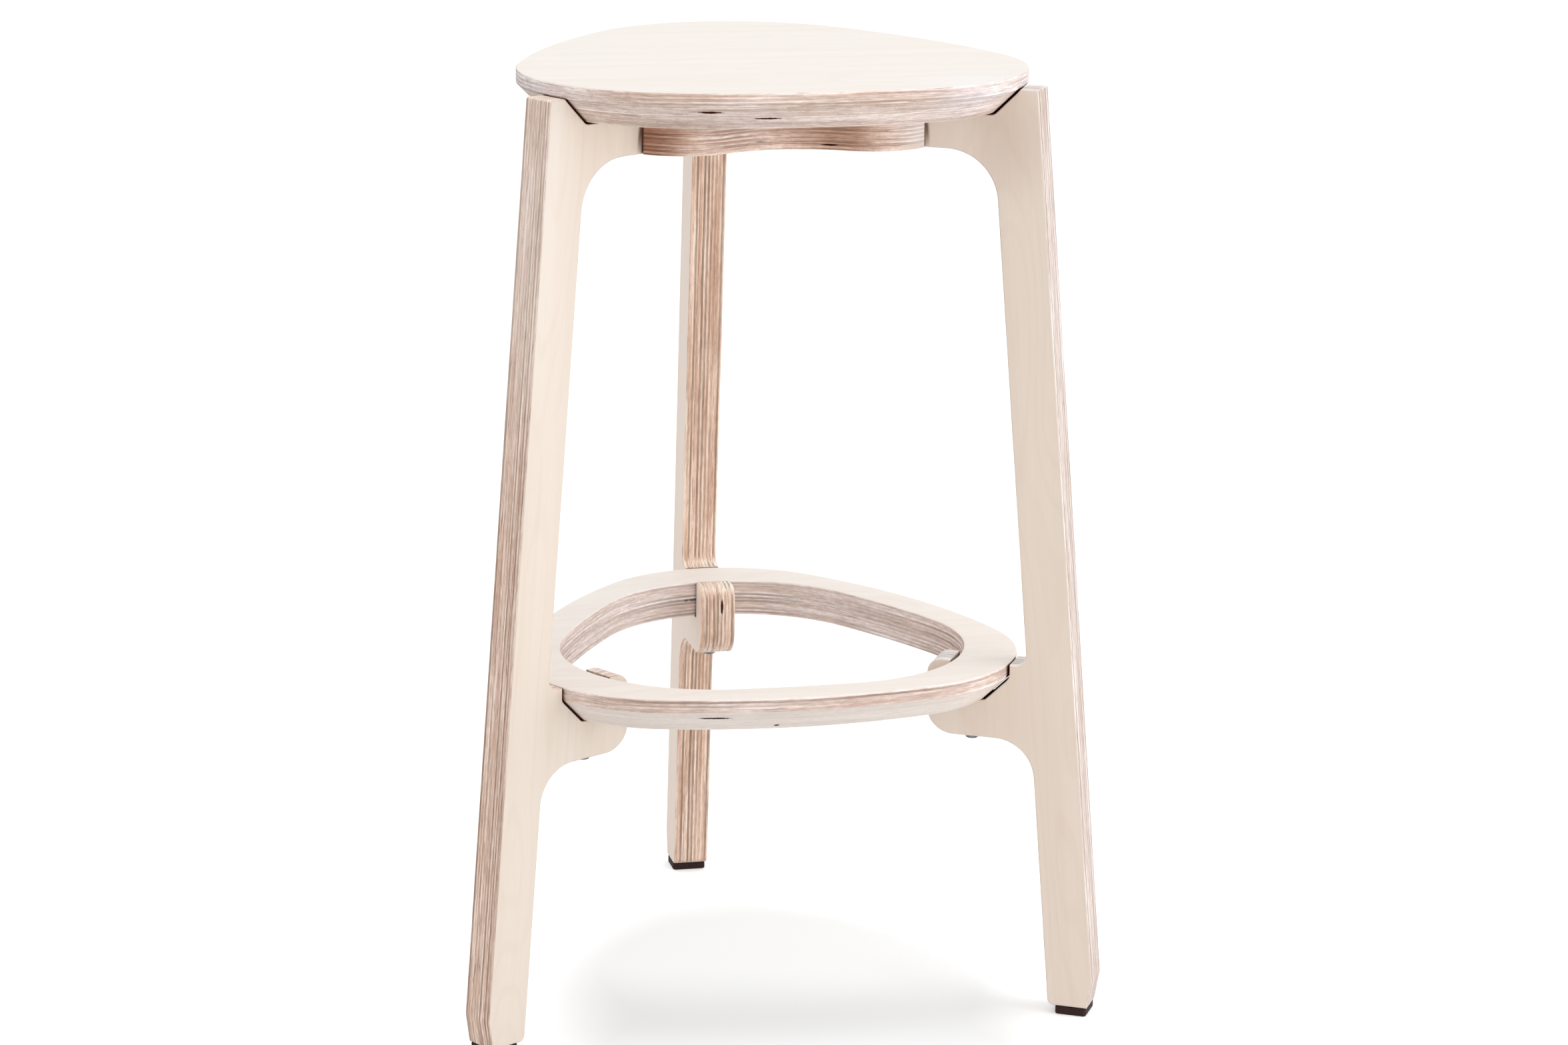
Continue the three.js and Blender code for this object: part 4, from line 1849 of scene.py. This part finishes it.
@dataclass
class Studio:
    """The camera, the lamps and the pale floor."""

    lens: float = 99.478
    place: Place = (-0.62614, -2.87368, 1.07283)
    heading: float = math.radians(12.866)
    pitch: float = math.radians(14.431)
    roll: float = math.radians(0.7315)
    sensor: float = 36.0
    farthest: float = 100.0
    floor_size: float = 30.0
    floor_colour: Colour = srgb(214, 214, 214)
    floor_seen: Colour = (0.86, 0.87, 0.875, 1.0)
    # The camera-only glow, and the painted shadow where it fades: a squashed dome round the shadow's
    # middle, and a band along the line between the front feet.
    floor_lift: float = 0.36
    inner_lift: float = 0.13
    shadow_middle: Place = (0.01, -0.18, 0.0)
    shadow_squash: Place = (1.3, 0.8, 1.0)
    shadow_core: float = 0.14
    shadow_reach: float = 0.28
    painted_shadow_line: float = -0.147
    painted_shadow_line_slope: float = -0.25
    painted_shadow_line_reach: float = 0.11
    sky: float = 0.88
    lamps: tuple[Lamp, ...] = (
        Lamp("key", (1.05, -0.5, 0.15), 0.9, 5.7),
        Lamp("front", (-0.4, -2.6, 0.1), 1.4, 6.5),
        Lamp("top", (0.05, -0.1, 2.2), 1.4, 9.0),
    )

    def build(self, middle: Vector) -> None:
        """Sets up the whole studio.

        Args:
            middle: the stool's middle.
        """
        self._camera()
        self._floor()
        self._world()
        for lamp in self.lamps:
            self._hang(lamp, middle)

    def _camera(self) -> None:
        """Puts the camera where the photograph was taken from."""
        camera = bpy.data.cameras.new("camera")
        camera.lens = self.lens
        camera.sensor_width = self.sensor
        camera.clip_end = self.farthest
        holder = bpy.data.objects.new("camera", camera)
        turn = Matrix.Rotation(-self.heading, 4, "Z")
        tilt = Matrix.Rotation(math.pi / 2 - self.pitch, 4, "X")
        roll = Matrix.Rotation(self.roll, 4, "Z")
        holder.matrix_world = Matrix.Translation(self.place) @ turn @ tilt @ roll
        bpy.context.scene.collection.objects.link(holder)
        bpy.context.scene.camera = holder

    def _floor(self) -> None:
        """Lays the floor. For the camera a glow lifts it to white; the glow fades out over a dome
        between the legs and along a band between the front feet, which paints the soft shadow there
        over the floor's own shade.
        """
        half = self.floor_size / 2
        mesh = bpy.data.meshes.new("floor")
        corners = [(-half, -half, 0), (half, -half, 0), (half, half, 0), (-half, half, 0)]
        mesh.from_pydata(corners, [], [(0, 1, 2, 3)])
        floor = new_piece("floor", mesh)
        finish, wires = new_finish("floor_paper")
        paper = wires.node("ShaderNodeBsdfDiffuse", {"Color": self.floor_colour})
        white = wires.node("ShaderNodeBsdfDiffuse", {"Color": self.floor_seen})
        place = wires.node("ShaderNodeTexCoord").outputs["Object"]
        # Painted shadow: the glow fades out over a squashed dome between the legs and along a band
        # on the line between the front feet.
        away = wires.vector("SUBTRACT", place, self.shadow_middle)
        away = wires.vector("MULTIPLY", away, self.shadow_squash)
        distance = wires.length(away)
        outer = wires.ramp(distance, self.shadow_core, self.shadow_reach, 0.0, self.floor_lift)
        parts = wires.node("ShaderNodeSeparateXYZ", {0: place}).outputs
        line = wires.math("MULTIPLY_ADD", parts[0], self.painted_shadow_line_slope, self.painted_shadow_line)
        beside = wires.math("ABSOLUTE", wires.math("SUBTRACT", parts[1], line))
        inner = wires.ramp(beside, 0.0, self.painted_shadow_line_reach, 0.0, self.inner_lift)
        lift = wires.math("MAXIMUM", inner, outer)
        glow = wires.node("ShaderNodeEmission", {"Color": (1, 1, 1, 1), "Strength": lift})
        shown = wires.node("ShaderNodeAddShader", {0: white, 1: glow})
        seen = wires.node("ShaderNodeLightPath").outputs["Is Camera Ray"]
        mixed = wires.node("ShaderNodeMixShader", {0: seen, 1: paper, 2: shown})
        wires.node("ShaderNodeOutputMaterial", {"Surface": mixed})
        mesh.materials.append(finish)

    def _world(self) -> None:
        """Makes a white sky, softer as a light than as a background."""
        world = bpy.data.worlds.new("studio")
        bpy.context.scene.world = world
        world.use_nodes = True
        world.node_tree.nodes.clear()
        wires = Wiring(world.node_tree)
        white = (1, 1, 1, 1)
        light = wires.node("ShaderNodeBackground", {"Color": white, "Strength": self.sky})
        plain = wires.node("ShaderNodeBackground", {"Color": white, "Strength": 1.0})
        seen = wires.node("ShaderNodeLightPath").outputs["Is Camera Ray"]
        mixed = wires.node("ShaderNodeMixShader", {0: seen, 1: light, 2: plain})
        wires.node("ShaderNodeOutputWorld", {"Surface": mixed})

    def _hang(self, lamp: Lamp, middle: Vector) -> None:
        """Hangs one lamp so that it faces the stool's middle.

        Args:
            lamp: the lamp.
            middle: the stool's middle.
        """
        light = bpy.data.lights.new(lamp.name, "AREA")
        light.energy = lamp.power
        light.size = lamp.size
        away = Vector(lamp.away)
        facing = (-away).to_track_quat("-Z", "Y").to_matrix().to_4x4()
        holder = bpy.data.objects.new(lamp.name, light)
        holder.matrix_world = Matrix.Translation(middle + away) @ facing
        bpy.context.scene.collection.objects.link(holder)


def three_blades() -> list[LegBlade]:
    """Sets out the three legs, each with the look of its own stretch of board. Their face colours
    and edge tones also differ in part as lit and shaded copies of one plywood.

    Returns:
        The legs.
    """
    # Painted light: the legs' board ends, such as the tops of the head, ledge and hook, are toned
    # paler.
    ends = (1.3, 1.42, 1.52, 1.0)
    left_look = Plywood(
        face_light=srgb(236, 223, 210),
        face_dark=srgb(229, 214, 199),
        edge_tone=(1.06, 1.03, 1.0, 1.0),
        end_tone=ends,
        line_weight=1.6,
    )
    right_look = Plywood(
        face_light=srgb(237, 222, 208),
        face_dark=srgb(232, 214, 198),
        # Painted light: the right leg's edges are toned paler and cooler where the light falls on
        # them.
        edge_tone=(0.98, 1.09, 1.18, 1.0),
        end_tone=ends,
    )
    back_look = Plywood(
        face_light=srgb(255, 239, 227),
        face_dark=srgb(253, 230, 215),
        edge_tone=(1.08, 1.02, 0.95, 1.0),
        end_tone=ends,
    )
    hook_void = Void(mm(3, 127.1, 232.5), mm(5, 3, 0.9))
    # Painted light along the left leg's outer edge.
    painted_light_edge = MarkOrPaintedLight(
        mm(-174.5, -100.8, 560), mm(230, 22, 40), (0.26, 0.24, 0.22, 1.0), Stain.PALER
    )
    left_shade = MarkOrPaintedLight(mm(-130, -68, 620), mm(60, 60, 30), (0.9, 0.82, 0.75, 1.0))
    right_shade = MarkOrPaintedLight(mm(148, -97, 610), mm(60, 40, 20), (0.86, 0.82, 0.79, 1.0))
    knot = MarkOrPaintedLight(mm(161.5, -58.6, 640.7), mm(2.2, 2.2, 2.2), (0.3, 0.15, 0.1, 1.0))
    # Painted shade on each side arm where it meets the hub, in the gap between them.
    joint_shade_size = mm(17, 2.5, 3)
    joint_shade_tone = (0.3, 0.18, 0.12, 1.0)
    left_joint_shade = MarkOrPaintedLight(mm(-96.6, -70.8, 612), joint_shade_size, joint_shade_tone)
    right_joint_shade = MarkOrPaintedLight(mm(96.6, -70.8, 612), joint_shade_size, joint_shade_tone)
    return [
        LegBlade(Leg.BACK, seed=37.0, look=back_look, marks=(hook_void,)),
        LegBlade(Leg.LEFT, seed=41.0, look=left_look, marks=(painted_light_edge, left_shade, left_joint_shade)),
        LegBlade(Leg.RIGHT, seed=53.0, look=right_look, marks=(knot, right_shade, right_joint_shade)),
    ]


def main() -> None:
    """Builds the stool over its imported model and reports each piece."""
    logging.basicConfig(level=logging.INFO, format="%(name)s: %(message)s")
    bpy.ops.wm.read_factory_settings(use_empty=True)
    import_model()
    bpy.context.scene.view_settings.view_transform = "Standard"
    axis = Vector((0.0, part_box("seat")[0].y + SEAT_OUTLINE.tip - SEAT_OUTLINE.drop, 0.0))

    blades = three_blades()
    foot_inner, foot_outer = blades[0].foot
    pads = FootPads(foot_inner, foot_outer)
    screws = Screws(pads.distance)
    rims = RimTree().wires.tree
    repeats = round_axis_tree()

    Seat().build(rims, axis, (screws.arm, screws.hub))
    FootrestRing().build(rims, axis, (screws.ring,))
    HubPlate().build(axis, screws.hub)
    in_blade = ((screws.arm, HUB_BOTTOM), (screws.ring, CORBEL_BOTTOM), (screws.pad, 0.0))
    for blade in blades:
        blade.build(axis, in_blade)
    pads.build(repeats, axis, screws.pad)
    screws.build(repeats, axis)
    Studio().build(axis + Vector((0.0, 0.0, SEAT_TOP / 2)))


if __name__ == "__main__":
    main()
